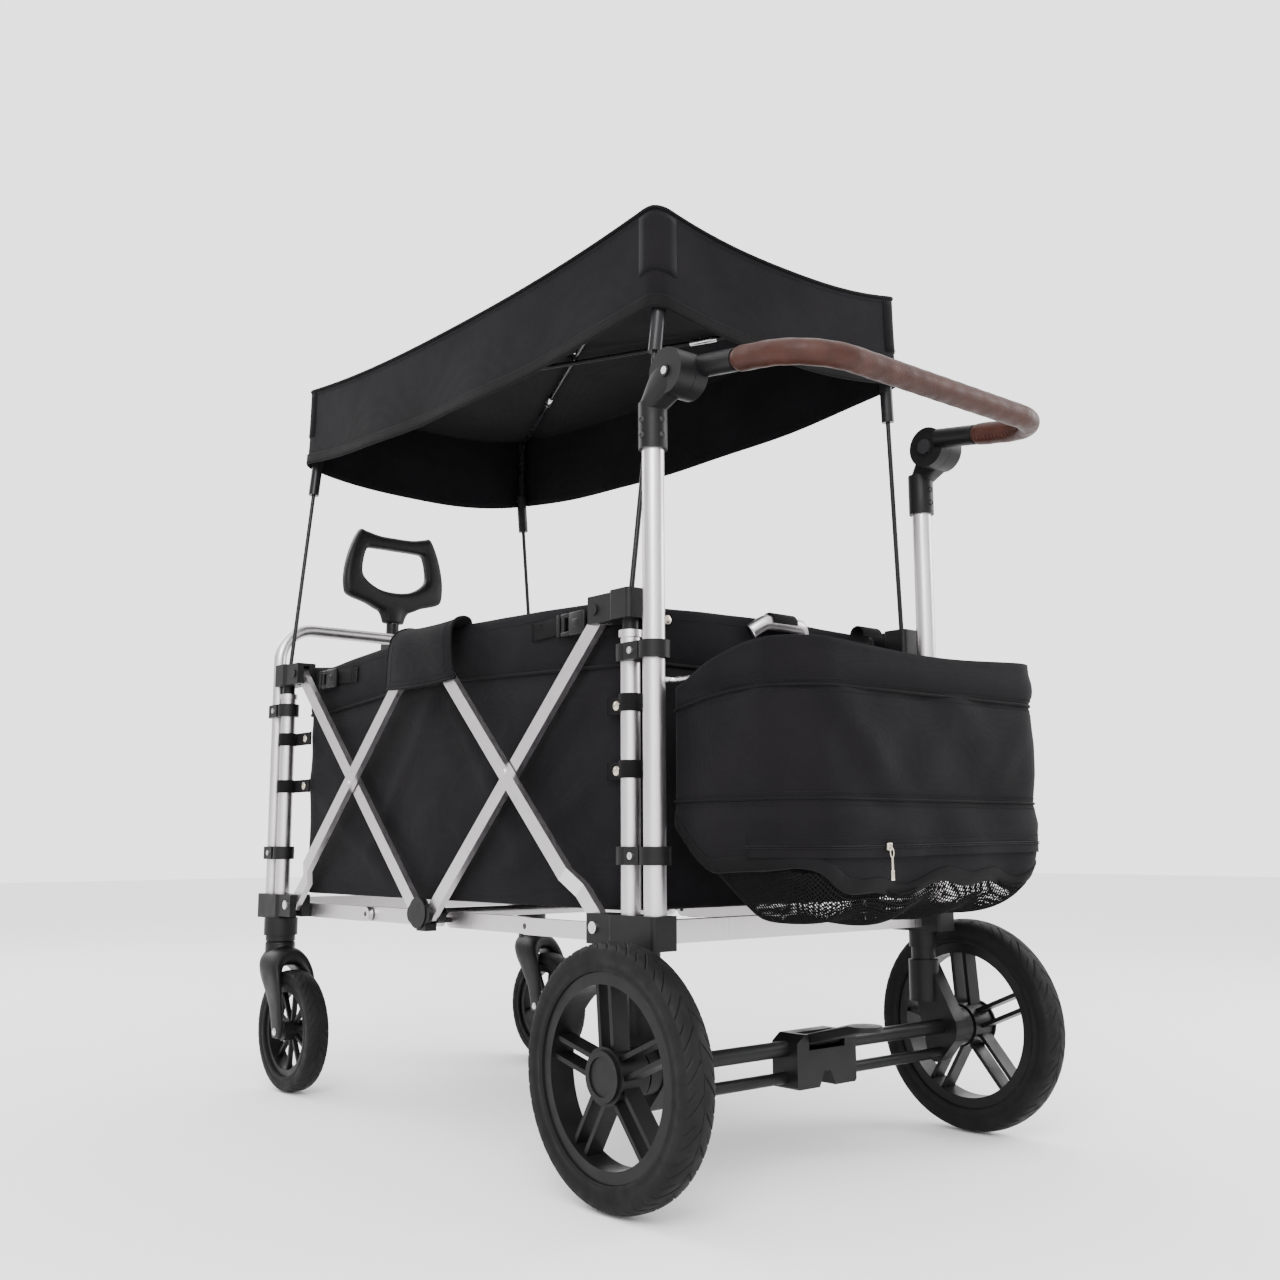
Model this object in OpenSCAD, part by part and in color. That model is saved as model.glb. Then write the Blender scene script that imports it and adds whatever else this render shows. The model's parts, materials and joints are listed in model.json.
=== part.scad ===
// Folding pull wagon for children: +Y is forward, +X is right, +Z is up, millimetres.
// The origin is on the floor, below the middle of the whole wagon's box.

/* [Frame] */
// Distance from the middle plane to each corner post
post_x = 269; // [255:1:272]
// Outer diameter of a corner post
post_d = 25; // [22:1:26]
// Distance between the rear and front posts
post_span = 954; // [940:1:970]
// Distance between a post and the tube clamped behind or before it
tube_gap = 45; // [40:1:48]
// Diameter of the push handle tubes
handle_tube_d = 28; // [24:1:30]
// Diameter of the front bumper tube
bumper_d = 22; // [18:1:25]

/* [Fold] */
// Height of the lower bar pivots above the floor
pivot_z = 309; // [306:1:312]
// Height from the lower to the upper bar pivots
pivot_rise = 400; // [390:1:410]
// Width of a side bar
bar_w = 22; // [18:1:24]
// Thickness of a side bar
bar_t = 10; // [8:1:10]
// Distance between the two pivots on a hub
hub_span = 36; // [34:1:40]

/* [Wheels] */
// Diameter of the rear wheels
rear_d = 300; // [280:1:302]
// Width of the rear tyres
rear_w = 44; // [38:1:46]
// Diameter of the front wheels
front_d = 200; // [180:1:204]
// Width of the front tyres
front_w = 38; // [30:1:40]
// Distance the front wheel trails behind its swivel
trail = 58; // [50:1:62]

/* [Tub] */
// Half the width of the fabric tub
tub_x = 248; // [230:1:250]
// Height of the tub's rim above the floor
tub_top = 712; // [690:1:720]

/* [Canopy] */
// Half the width of the canopy
roof_x = 250; // [240:1:256]
// Height of the canopy's peaks above the floor
roof_top = 1251; // [1245:1:1260]
// Height of the valance
valance = 140; // [120:1:145]

/* [Push handle] */
// Height of the tilting joint above the floor
joint_z = 993; // [985:1:1000]
// Diameter of the leather grip
grip_d = 32; // [28:1:34]

/* [Hidden] */
$fn = 48;
fit = 0.05;
gap = 0.5;
axle_y = -435;
rear_z = rear_d / 2;
rear_x = 334;
axle_d = 12;
post_r = axle_y + 50;
post_f = post_r + post_span;
tube_r = post_r - tube_gap;
tube_f = post_f + tube_gap - 5;
block_z = 285;
block_top = 326;
lug = 52;
pin_d = 8;
pivot_r = post_r + lug;
pivot_f = post_f - lug;
mid_y = (pivot_r + pivot_f) / 2;
hub_r = mid_y - hub_span / 2;
hub_f = mid_y + hub_span / 2;
top_z = pivot_z + pivot_rise;
in_x = post_x;
out_x = post_x + bar_t + 2;
cross_z = pivot_z + pivot_rise / 2;
rail_z = 300;
rail_h = 23;
rail_t = 8;
rail_corner_x = 242;
rail_hub_x = 232;
joint_y = axle_y - 33;
bow_y = -691 + grip_d / 2;
bow_x = 240;
bow_bend = 74;
bow_drop = 8;
bow_sides = 32;
front_z = front_d / 2;
caster_y = post_f - trail;
clamp_low = 397;
clamp_high = 648;
clamp_h = 22;
sleeve_z = 902;
inner_d = 20.6;
hitch_y = 677;
hitch_z = 304;
pole_d = 26;
pole_end_z = 845;
bar_z = 803;
bumper_bend = 62;
roof_r = axle_y + 18;
roof_f = axle_y + 1016;
bag_top = 650;
bag_floor = 330;
bag_r = -635;
bag_f = tube_r - 16;

// ---- shapes used more than once ----

// Its children, and their mirror image on the left side.
module sides() {
    children();
    mirror([1, 0, 0]) children();
}

// The right or left copy of one piece: side is 1 or -1.
module on(side) {
    if (side > 0) children();
    else mirror([1, 0, 0]) children();
}

// A round bar between two points.
module rod(a, b, d) {
    v = b - a;
    len = norm(v);
    translate(a) rotate([0, acos(v.z / len), atan2(v.y, v.x)]) cylinder(h = len, d = d);
}

// A round bar along X from x0 to x1 at height z.
module pin(x0, x1, y, z, d) {
    translate([x0, y, z]) rotate([0, 90, 0]) cylinder(h = x1 - x0, d = d);
}

module box(x0, x1, y0, y1, z0, z1) {
    translate([x0, y0, z0]) cube([x1 - x0, y1 - y0, z1 - z0]);
}

// A rectangle with round corners, centred.
module round_rect(w, h, r) {
    square([w - 2 * r, h], center = true);
    square([w, h - 2 * r], center = true);
    for (x = [-1, 1], y = [-1, 1]) translate([x * (w / 2 - r), y * (h / 2 - r)]) circle(r);
}

// A block with round vertical edges.
module round_box(x0, x1, y0, y1, z0, z1, r) {
    translate([(x0 + x1) / 2, (y0 + y1) / 2, z0])
        linear_extrude(z1 - z0) round_rect(x1 - x0, y1 - y0, r);
}

// A flat bar in the side plane, from one pivot to the other, with round ends.
// Its middle is at x and its thickness is t.
module link(x, y0, z0, y1, z1, w, t) {
    len = norm([y1 - y0, z1 - z0]);
    translate([x - t / 2, y0, z0]) rotate([atan2(z1 - z0, y1 - y0), 0, 0]) difference() {
        union() {
            translate([0, 0, -w / 2]) cube([t, len, w]);
            for (y = [0, len]) translate([0, y, 0]) rotate([0, 90, 0]) cylinder(h = t, d = w);
        }
        for (y = [0, len]) translate([-1, y, 0]) rotate([0, 90, 0])
            cylinder(h = t + 2, d = pin_d + 2 * fit);
    }
}

// A bar whose lower end steps inward from the outer plane to the post's plane.
module stepped_bar(y0, z0, y1, z1) {
    len = norm([y1 - y0, z1 - z0]);
    step = [62, 92];
    t = bar_t / 2;
    translate([0, y0, z0]) rotate([atan2(z1 - z0, y1 - y0), 0, 0]) difference() {
        union() {
            translate([0, 0, -bar_w / 2]) linear_extrude(bar_w) polygon([
                [in_x - t, 0], [in_x + t, 0], [in_x + t, step[0]], [out_x + t, step[1]],
                [out_x + t, len], [out_x - t, len], [out_x - t, step[1]], [in_x - t, step[0]]]);
            pin(in_x - t, in_x + t, 0, 0, bar_w);
            pin(out_x - t, out_x + t, len, 0, bar_w);
        }
        for (y = [0, len]) pin(in_x - bar_t, out_x + bar_t, y, 0, pin_d + 2 * fit);
    }
}

// A screw along X with its head at x and its shank inward.
module screw(x, y, z, head, len) {
    pin(x - len, x, y, z, 4);
    difference() {
        pin(x, x + 2.5, y, z, head);
        translate([x + 1.2, y, z]) rotate([0, 90, 0]) cylinder(h = 3, d = head * 0.45, $fn = 6);
    }
}

// The clamp that holds a post and its neighbour tube side by side.
module clamp(z, tube_y, tube_d, post_y) {
    y0 = min(tube_y, post_y);
    y1 = max(tube_y, post_y);
    difference() {
        union() {
            pin_z(post_x, post_y, z, 37);
            pin_z(post_x, tube_y, z, tube_d + 12);
            box(post_x - 13, post_x + 13, y0, y1, z - clamp_h / 2, z + clamp_h / 2);
            box(post_x + 12, post_x + 19, y0 + 9, y1 - 9, z - clamp_h / 2, z + clamp_h / 2);
        }
        translate([post_x, post_y, 0]) cylinder(h = 1000, d = post_d);
        translate([post_x, tube_y, 0]) cylinder(h = 1000, d = tube_d);
        pin(post_x + 4, post_x + 30, (y0 + y1) / 2, z, 4);
    }
}

// A short round plate of the clamp's height at one post or tube.
module pin_z(x, y, z, d) {
    translate([x, y, z - clamp_h / 2]) cylinder(h = clamp_h, d = d);
}

// ---- frame ----

module post(y) {
    translate([post_x, y, 296]) difference() {
        union() {
            cylinder(h = 372, d = post_d);
            translate([0, 0, 372]) cylinder(h = 9, d = post_d + 5);
        }
        translate([0, 0, 3]) cylinder(h = 400, d = inner_d + 1);
    }
}

module rear_posts() { color("silver") sides() post(post_r); }
module front_posts() { color("silver") sides() post(post_f); }

// A rectangular tube from block to block.
module cross_rail(y) {
    difference() {
        box(-post_x + 20, post_x - 20, y - 10, y + 10, 291, 319);
        box(-post_x, post_x, y - 8, y + 8, 293, 317);
    }
}

module rear_bottom_rail() { color("silver") cross_rail(post_r - 25); }
module front_bottom_rail() { color("silver") cross_rail(post_f + 18); }

// The corner block: post and tube sockets, a forked lug for the bar, and the rail's pin.
// dir is 1 where the lug points forward.
module bottom_block(y, tube_y, tube_d, dir) {
    lug_y = y + dir * lug;
    end = lug_y + dir * 15;
    back = tube_y - dir * (tube_d / 2 + 6);
    difference() {
        union() {
            round_box(post_x - 20, post_x + 20, min(back, y + dir * 22), max(back, y + dir * 22),
                block_z, block_top, 6);
            box(post_x - 20, post_x + 17, min(y, end), max(y, end), block_z + 4, block_top);
            pin(rail_corner_x - 5, post_x - 19, lug_y, rail_z, pin_d);
        }
        box(in_x - bar_t / 2 - gap, in_x + bar_t / 2 + gap, min(lug_y - dir * 14, lug_y + dir * 20),
            max(lug_y - dir * 14, lug_y + dir * 20), block_z - 1, block_top + 1);
        translate([post_x, y, 296]) cylinder(h = 60, d = post_d);
        translate([post_x, tube_y, 300]) cylinder(h = 60, d = tube_d);
        pin(in_x - bar_t / 2 - 8, post_x + 30, lug_y, pivot_z, pin_d);
    }
}

module rear_bottom_blocks() {
    color("dimgray") sides() bottom_block(post_r, tube_r, handle_tube_d, 1);
}

// The front blocks also carry the housings that the casters turn in.
module front_bottom_blocks() {
    color("dimgray") sides() difference() {
        union() {
            bottom_block(post_f, tube_f, bumper_d, -1);
            translate([post_x, post_f, 246]) cylinder(h = block_z - 246, d = 50);
            translate([post_x, post_f, 256]) cylinder(h = block_z - 256, d = 57);
        }
        translate([post_x, post_f, 240]) cylinder(h = 40, d = 16 + 2 * fit);
    }
}

module push_handle_tubes() {
    color("silver") sides() translate([post_x, tube_r, 300]) difference() {
        cylinder(h = 650, d = handle_tube_d);
        translate([0, 0, -1]) cylinder(h = 652, d = handle_tube_d - 3);
    }
}

module rear_clamps() {
    color("dimgray") sides() for (z = [clamp_low, clamp_high]) clamp(z, tube_r, handle_tube_d, post_r);
}

module front_clamps() {
    color("dimgray") sides() for (z = [clamp_low, clamp_high]) clamp(z, tube_f, bumper_d, post_f);
}

// Clamp screws, and the bar pivot's bolt in each bottom block.
module corner_bolts(y, tube_y, lug_y) {
    for (z = [clamp_low, clamp_high]) screw(post_x + 19, (y + tube_y) / 2, z, 9, 15);
    screw_x = post_x + 17;
    pin(in_x - bar_t / 2 - 8, screw_x, lug_y, pivot_z, pin_d);
    pin(screw_x, screw_x + 3, lug_y, pivot_z, 15);
}

// The rear group also has the bolts that the wheels turn on.
module rear_bolts() {
    color("gray") sides() {
        corner_bolts(post_r, tube_r, pivot_r);
        pin(262, 348, axle_y, rear_z, axle_d);
    }
}

module front_bolts() { color("gray") sides() corner_bolts(post_f, tube_f, pivot_f); }

// ---- rear wheels and brake ----

module rear_wheel_brackets() {
    hub_in = 262;
    color("dimgray") sides() difference() {
        union() {
            hull() {
                pin(hub_in, hub_in + 24, axle_y, rear_z, 60, $fn = 32);
                pin(hub_in, hub_in + 24, axle_y + 8, rear_z - 34, 28, $fn = 32);
                pin(hub_in, hub_in + 24, post_r - 22, 226, 36, $fn = 32);
            }
            pin(hub_in, 304, axle_y, rear_z, 56);
            translate([post_x - 2, post_r - 22, 226]) cylinder(h = block_z - 226, d = 34);
            translate([post_x - 2, post_r - 22, 262]) cylinder(h = block_z - 262, d = 40);
            translate([post_x - 2, post_r - 22, 186]) cylinder(h = 58, d = 43);
        }
        pin(hub_in - 1, 310, axle_y, rear_z, axle_d);
    }
}

module brake_bars() {
    color("dimgray") sides() {
        rod([46, axle_y, rear_z + 2], [262, axle_y, rear_z + 2], 20);
        rod([46, axle_y + 2, rear_z - 34], [262, axle_y + 2, rear_z - 34], 15);
    }
}

// Two housings joined by a web, with a notch between them.
module brake_housing() {
    color("dimgray") difference() {
        translate([0, axle_y + 22, 0]) rotate([90, 0, 0]) linear_extrude(44) polygon([
            [-56, 106], [-53, 103], [-15, 103], [-6, 122], [6, 122], [15, 103], [53, 103],
            [56, 106], [56, 160], [42, 170], [-42, 170], [-56, 160]]);
        box(-34, 34, axle_y - 30, axle_y + 2, 150, 171);
        sides() pin(45, 58, axle_y, rear_z + 2, 20);
        sides() pin(45, 58, axle_y + 2, rear_z - 34, 15);
        for (x = [-44, 33]) pin(x, x + 11, axle_y - 8, 160, pin_d);
    }
}

// The foot lever: a wide blade behind its pin.
module brake_pedal() {
    color("dimgray") union() {
        pin(-44, 44, axle_y - 8, 160, pin_d - 2 * fit);
        pin(-33, 33, axle_y - 8, 160, 17);
        hull() {
            box(-32, 32, axle_y - 16, axle_y - 10, 158, 168);
            translate([0, axle_y - 86, 178]) cylinder(h = 6, d = 44, $fn = 32);
        }
    }
}

// Wheels are drawn on the right side around their own axle.

// A tyre: a ring with round shoulders.
module tyre(d, w, depth) {
    rotate([0, 90, 0]) rotate_extrude($fn = 96)
        translate([d / 2 - depth / 2, 0]) round_rect(depth, w, min(depth, w) * 0.32);
}

// A flat ring around the X axis: outer radius, inner radius and half its width.
module ring(outer, inner, half) {
    difference() {
        pin(-half, half, 0, 0, 2 * outer);
        pin(-half - 1, half + 1, 0, 0, 2 * inner);
    }
}

module rear_rim(side) {
    color("dimgray") on(side) translate([rear_x, axle_y, rear_z]) difference() {
        union() {
            ring(rear_d / 2 - 34, 102, 17);
            pin(-26, 15, 0, 0, 60);
            for (a = [-5:72:354], s = [-1, 1]) rotate([a, 0, 0]) translate([0, s * 11, 0])
                box(-12, 12, -2.8, 2.8, 24, 107);
        }
        pin(-27, 20, 0, 0, 24);
        for (x = [-27, 7]) pin(x, x + 9, 0, 0, 28);
    }
}

module rear_tyre(side) {
    color("black") on(side) translate([rear_x, axle_y, rear_z]) tyre(rear_d, rear_w, 34);
}

// Two ball bearings in each hub, drawn as plain rings.
module rear_bearings() {
    color("gray") sides() translate([rear_x, axle_y, rear_z]) for (x = [-26, 7]) difference() {
        pin(x, x + 8, 0, 0, 28 - 2 * fit);
        pin(x - 1, x + 9, 0, 0, axle_d);
    }
}

module rear_hub_cap(side) {
    color("black") on(side) translate([rear_x, axle_y, rear_z]) {
        pin(15, 18, 0, 0, 66);
        difference() {
            pin(18, 22, 0, 0, 58);
            pin(20, 23, 0, 0, 44);
        }
    }
}

// ---- casters ----

// A swivelling fork with its stem, two curved legs and the wheel's axle.
module caster_fork(side) {
    half = front_w / 2 + 3;
    color("dimgray") on(side) translate([post_x, post_f, 0]) difference() {
        union() {
            translate([0, 0, 232]) cylinder(h = 46, d = 16);
            translate([0, 0, 219]) cylinder(h = 24, d = 52);
            box(-half - 7, half + 7, -26, 20, 212, 224);
            for (x = [-half - 7, half]) {
                hull() {
                    pin(x, x + 7, -4, 204, 40, $fn = 32);
                    pin(x, x + 7, -30, 170, 34, $fn = 32);
                }
                hull() {
                    pin(x, x + 7, -30, 170, 34, $fn = 32);
                    pin(x, x + 7, -trail, front_z, 26, $fn = 32);
                }
            }
            pin(-half - 10, half + 10, -trail, front_z, 8);
            for (x = [-half - 11, half + 7]) pin(x, x + 4, -trail, front_z, 15);
        }
    }
}

module front_rim(side) {
    color("dimgray") on(side) translate([post_x, caster_y, front_z]) difference() {
        union() {
            ring(front_d / 2 - 26, 64, 13);
            pin(-20, 20, 0, 0, 32);
            for (a = [7:36:359]) rotate([a, 0, 0]) box(-4, 4, -2.5, 2.5, 12, 68);
        }
        pin(-21, 21, 0, 0, 8 + 2 * fit);
    }
}

module front_tyre(side) {
    color("black") on(side) translate([post_x, caster_y, front_z]) tyre(front_d, front_w, 26);
}

// ---- folding sides ----

// Lower corner pivots to the pivots above the hubs; they carry the crossing rivets.
module outer_bars(y0, y1, cross_y) {
    sides() {
        stepped_bar(y0, pivot_z, y1, top_z);
        pin(in_x - bar_t / 2 - 3.5, out_x, cross_y, cross_z, pin_d);
        pin(in_x - bar_t / 2 - 3.5, in_x - bar_t / 2 - gap, cross_y, cross_z, 15);
        pin(out_x + bar_t / 2, out_x + bar_t / 2 + 2, cross_y, cross_z, 15);
    }
}

module outer_bars_rear() { color("silver") outer_bars(pivot_r, hub_r, (pivot_r + hub_r) / 2); }
module outer_bars_front() { color("silver") outer_bars(pivot_f, hub_f, (pivot_f + hub_f) / 2); }

// Upper corner pivots to the hubs.
module inner_bars(y0, y1) {
    sides() difference() {
        link(in_x, y0, top_z, y1, pivot_z, bar_w, bar_t);
        pin(in_x - bar_t, in_x + bar_t, (y0 + y1) / 2, cross_z, pin_d + 2 * fit);
    }
}

module inner_bars_rear() { color("silver") inner_bars(pivot_r, hub_r); }
module inner_bars_front() { color("silver") inner_bars(pivot_f, hub_f); }

// The hub at the middle of each lower side: two cheeks, a web and four pins.
module side_hubs() {
    outer = in_x + bar_t / 2 + gap;
    inner = in_x - bar_t / 2 - gap;
    color("dimgray") sides() difference() {
        union() {
            pin(outer, outer + 9, mid_y, pivot_z + 2, 46);
            for (y = [hub_r, hub_f]) {
                pin(outer, outer + 7, y, pivot_z, 27);
                pin(inner - 12, inner, y, pivot_z, 27);
                pin(inner - 1, outer + 1, y, pivot_z, pin_d);
                pin(rail_hub_x - 5, inner - 11, y, rail_z, pin_d);
            }
            box(inner - 12, inner, hub_r, hub_f, pivot_z - 13, pivot_z + 13);
            box(inner - 12, outer + 6, mid_y - 5, mid_y + 5, pivot_z - 18, pivot_z + 13);
            box(inner - 2, outer + 6, mid_y - 20, mid_y + 5, pivot_z - 24, pivot_z - 14);
        }
        pin(inner - 13, inner - 6, mid_y, pivot_z, 16);
    }
}

module hub_cross_tube() {
    end = in_x - bar_t / 2 - gap - 6;
    color("silver") difference() {
        pin(-end, end, mid_y, pivot_z, 16);
        pin(-end - 1, end + 1, mid_y, pivot_z, 13);
    }
}

// The upper middle pivot of each side, behind its fabric flap.
module centre_pivots() {
    outer = out_x + bar_t / 2 + gap;
    inner = out_x - bar_t / 2 - gap;
    color("dimgray") sides() {
        round_pair(inner - 10, inner);
        round_pair(outer, outer + 3);
        for (y = [hub_r, hub_f]) pin(inner - 1, outer + 1, y, top_z, pin_d);
        box(inner - 1, outer + 1, mid_y - 5, mid_y + 5, top_z - 13, top_z + 13);
    }
}

// A plate around both upper middle pivots.
module round_pair(x0, x1) {
    for (y = [hub_r, hub_f]) pin(x0, x1, y, top_z, 30);
    box(x0, x1, hub_r, hub_f, top_z - 15, top_z + 15);
}

// A block on top of each post: it slides up with its inner post as the wagon folds.
module top_block(y, dir, pole_to) {
    lug_y = y + dir * lug;
    end = lug_y + dir * 14;
    difference() {
        union() {
            round_box(post_x - 20, post_x + 20, y - 20, y + 20, top_z - 18, top_z + 20, 6);
            box(post_x - 17, post_x + 17, min(y, end), max(y, end), top_z - 18, top_z + 18);
        }
        box(in_x - bar_t / 2 - gap, in_x + bar_t / 2 + gap, min(lug_y - dir * 14, lug_y + dir * 20),
            max(lug_y - dir * 14, lug_y + dir * 20), top_z - 20, top_z + 13);
        translate([post_x, y, top_z - 30]) cylinder(h = 34, d = inner_d);
        rod([post_x, y, top_z + 6], pole_to, 7);
    }
    pin(in_x - bar_t / 2 - 3, in_x + bar_t / 2 + 3, lug_y, top_z, pin_d);
    pin(post_x + 17, post_x + 19, lug_y, top_z, 14);
}

rear_pole_top = [roof_x - 18, roof_r + 18, 1096];
front_pole_top = [roof_x - 18, roof_f - 18, 1096];

module rear_top_blocks() { color("dimgray") sides() top_block(post_r, 1, rear_pole_top); }
module front_top_blocks() { color("dimgray") sides() top_block(post_f, -1, front_pole_top); }

module inner_post(y) {
    translate([post_x, y, 470]) difference() {
        cylinder(h = top_z + 4 - 470, d = inner_d);
        translate([0, 0, -1]) cylinder(h = 200, d = inner_d - 3);
    }
}

module rear_inner_posts() { color("black") sides() inner_post(post_r); }
module front_inner_posts() { color("black") sides() inner_post(post_f); }

// A thin pole with the socket that carries one corner of the roof.
module canopy_pole(y, top) {
    start = [post_x, y, top_z + 6];
    dir = (top - start) / norm(top - start);
    rod(start, top, 7);
    difference() {
        union() {
            rod(top - dir * 48, top + dir * 26, 19);
            translate(top + [0, 0, 10]) cylinder(h = roof_top - 14 - top.z - 10, d = 12);
        }
        rod(start, top, 7);
    }
}

module rear_canopy_poles() { color("black") sides() canopy_pole(post_r, rear_pole_top); }
module front_canopy_poles() { color("black") sides() canopy_pole(post_f, front_pole_top); }

// Rails under the tub: one half turns on the corner block, the other on the hub.
module bottom_rails(y0, y1, x) {
    sides() link(x, y0, rail_z, y1, rail_z, rail_h, rail_t);
}

module bottom_rails_rear() {
    color("silver") bottom_rails(pivot_r, (pivot_r + hub_r) / 2, rail_corner_x);
}

module bottom_rails_front() {
    color("silver") bottom_rails(pivot_f, (pivot_f + hub_f) / 2, rail_corner_x);
}

module hub_rails_rear() {
    color("silver") bottom_rails(hub_r, (pivot_r + hub_r) / 2, rail_hub_x);
}

module hub_rails_front() {
    color("silver") bottom_rails(hub_f, (pivot_f + hub_f) / 2, rail_hub_x);
}

// ---- front: bumper tube and pull handle ----

// A tube bent as an arch in the X-Z plane.
module arch(half, z0, z1, bend, d) {
    sides() {
        translate([half, 0, z0]) cylinder(h = z1 - bend - z0, d = d);
        translate([half - bend, 0, z1 - bend]) rotate([90, 0, 0])
            rotate_extrude(angle = 90) translate([bend, 0]) circle(d = d);
    }
    pin(-half + bend, half - bend, 0, z1, d);
}

module front_bumper() {
    color("silver") translate([0, tube_f, 0]) arch(post_x, 300, bar_z, bumper_bend, bumper_d);
}

// The clip on the bumper that holds the pull pole upright.
module pole_clip() {
    color("dimgray") difference() {
        union() {
            pin(-24, 24, tube_f, bar_z, bumper_d + 10);
            box(-20, 20, tube_f + 8, hitch_y + 10, bar_z - 14, bar_z + 14);
        }
        pin(-30, 30, tube_f, bar_z, bumper_d);
        translate([0, hitch_y, bar_z - 20]) cylinder(h = 40, d = pole_d + 1);
        box(-pole_d / 2 - 0.5, pole_d / 2 + 0.5, hitch_y, hitch_y + 20, bar_z - 20, bar_z + 20);
    }
    // The hitch bracket on the front rail, where the pole is hinged.
    color("dimgray") sides() difference() {
        union() {
            box(15, 21, post_f + 28, hitch_y, hitch_z - 13, hitch_z + 13);
            pin(15, 21, hitch_y, hitch_z, 28);
        }
        pin(14, 22, hitch_y, hitch_z, 8);
    }
}

module pull_pole() {
    color("dimgray") difference() {
        union() {
            translate([0, hitch_y, hitch_z + 10]) cylinder(h = pole_end_z - hitch_z - 10, d = pole_d - 1);
            pin(-14, 14, hitch_y, hitch_z, 26);
            pin(-21, 21, hitch_y, hitch_z, 8 - 2 * fit);
        }
        translate([0, hitch_y, hitch_z + 40]) cylinder(h = 600, d = 20 + 2 * fit);
    }
}

// The sliding tube with its closed loop grip.
module pull_handle() {
    base = 846;
    color("dimgray") {
        translate([0, hitch_y, 440]) cylinder(h = base - 438, d = 20);
        difference() {
            translate([0, hitch_y + 14, base]) rotate([90, 0, 0]) linear_extrude(28)
                polygon([[-20, 0], [20, 0], [52, 22], [104, 72], [110, 140], [98, 172],
                    [70, 178], [-70, 178], [-98, 172], [-110, 140], [-104, 72], [-52, 22]]);
            translate([0, hitch_y + 20, base]) rotate([90, 0, 0]) linear_extrude(40)
                polygon([[-40, 52], [40, 52], [74, 78], [80, 130], [72, 146], [-72, 146],
                    [-80, 130], [-74, 78]]);
            translate([0, hitch_y, base - 1]) cylinder(h = 9, d = 20);
        }
    }
}

// ---- push handle ----

// The fixed half of each tilting joint, with the sleeve on its tube.
module handle_joint_sleeves() {
    color("dimgray") sides() difference() {
        union() {
            translate([post_x, tube_r, sleeve_z]) cylinder(h = 60, d = 37);
            hull() {
                translate([post_x + 2, tube_r, 950]) cylinder(h = 12, d = 30, $fn = 32);
                pin(post_x - 13, post_x + 11, joint_y, joint_z, 52, $fn = 32);
            }
            pin(post_x - 13, post_x + 13, joint_y, joint_z, 60);
            pin(post_x + 13, post_x + 15, joint_y, joint_z, 16);
        }
        translate([post_x, tube_r, 800]) cylinder(h = 150, d = handle_tube_d);
        pin(post_x - 14, post_x - 2, joint_y, joint_z, 14);
    }
}

// The moving half of each joint with its arm.
module handle_arms() {
    color("dimgray") sides() difference() {
        union() {
            pin(post_x - 34, post_x - 13.5, joint_y, joint_z, 60);
            pin(post_x - 14, post_x - 3, joint_y, joint_z, 14 - 2 * fit);
            arm_frame() translate([bow_x, -20, 0]) rotate([90, 0, 0]) cylinder(h = 66, d = 29);
        }
        pin(post_x - 35, post_x - 24, joint_y, joint_z, 22 + 2 * fit);
        arm_bore();
    }
}

// The arm runs back from the joint, sloping down by bow_drop degrees.
module arm_frame() {
    translate([0, joint_y, joint_z + 12]) rotate([bow_drop, 0, 0]) children();
}

bow_len = (joint_y - bow_y) / cos(bow_drop);

module arm_bore() {
    arm_frame() translate([bow_x, -40, 0]) rotate([90, 0, 0]) cylinder(h = 80, d = 22);
}

// Rows of [x, y, outward x, outward y] along the handle's bend, from the right arm to the left.
function bow_rows(start) = let(
    right = concat([[bow_x, -start, 1, 0]], [for (a = [0:-9:-90])
        [bow_x - bow_bend + bow_bend * cos(a), -bow_len + bow_bend + bow_bend * sin(a),
            cos(a), sin(a)]]),
    last = len(right) - 1)
    concat(right, [for (i = [last:-1:0]) [-right[i][0], right[i][1], -right[i][2], right[i][3]]]);

function bow_ring(row, r) = [for (k = [0:bow_sides - 1]) let(a = 360 * k / bow_sides)
    [row[0] + r * cos(a) * row[2], row[1] + r * cos(a) * row[3], r * sin(a)]];

// Side faces between each ring and the next; closed joins the last ring to the first.
function bow_skin(count, closed) = [for (i = [0:count - (closed ? 1 : 2)], k = [0:bow_sides - 1])
    let(a = i * bow_sides, b = ((i + 1) % count) * bow_sides, n = (k + 1) % bow_sides)
    [a + k, b + k, b + n, a + n]];

// The bent steel tube inside the grip, from arm to arm.
module handle_bow() {
    rows = bow_rows(40);
    ends = (len(rows) - 1) * bow_sides;
    color("gray") arm_frame() polyhedron(
        [for (row = rows) each bow_ring(row, 11)],
        concat(bow_skin(len(rows), false),
            [[for (k = [0:bow_sides - 1]) k],
            [for (k = [bow_sides - 1:-1:0]) ends + k]]));
}

// The leather grip: the same path, outside and back again inside.
module grip_cover() {
    rows = bow_rows(86);
    back = [for (i = [len(rows) - 1:-1:0]) rows[i]];
    color("saddlebrown") arm_frame() polyhedron(
        concat([for (row = rows) each bow_ring(row, grip_d / 2)],
            [for (row = back) each bow_ring(row, 11)]),
        bow_skin(2 * len(rows), true));
}

module handle_button(side) {
    color("black") on(side) {
        pin(post_x - 40, post_x - 29, joint_y, joint_z, 22);
    }
}

// ---- soft parts, kept plain ----

module tub() {
    y0 = post_r + 16;
    y1 = post_f - 16;
    color("black") difference() {
        round_box(-tub_x, tub_x, y0, y1, block_top + 2, tub_top, 16);
        round_box(-tub_x + 6, tub_x - 6, y0 + 6, y1 - 6, block_top + 12, tub_top + 20, 12);
    }
}

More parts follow.
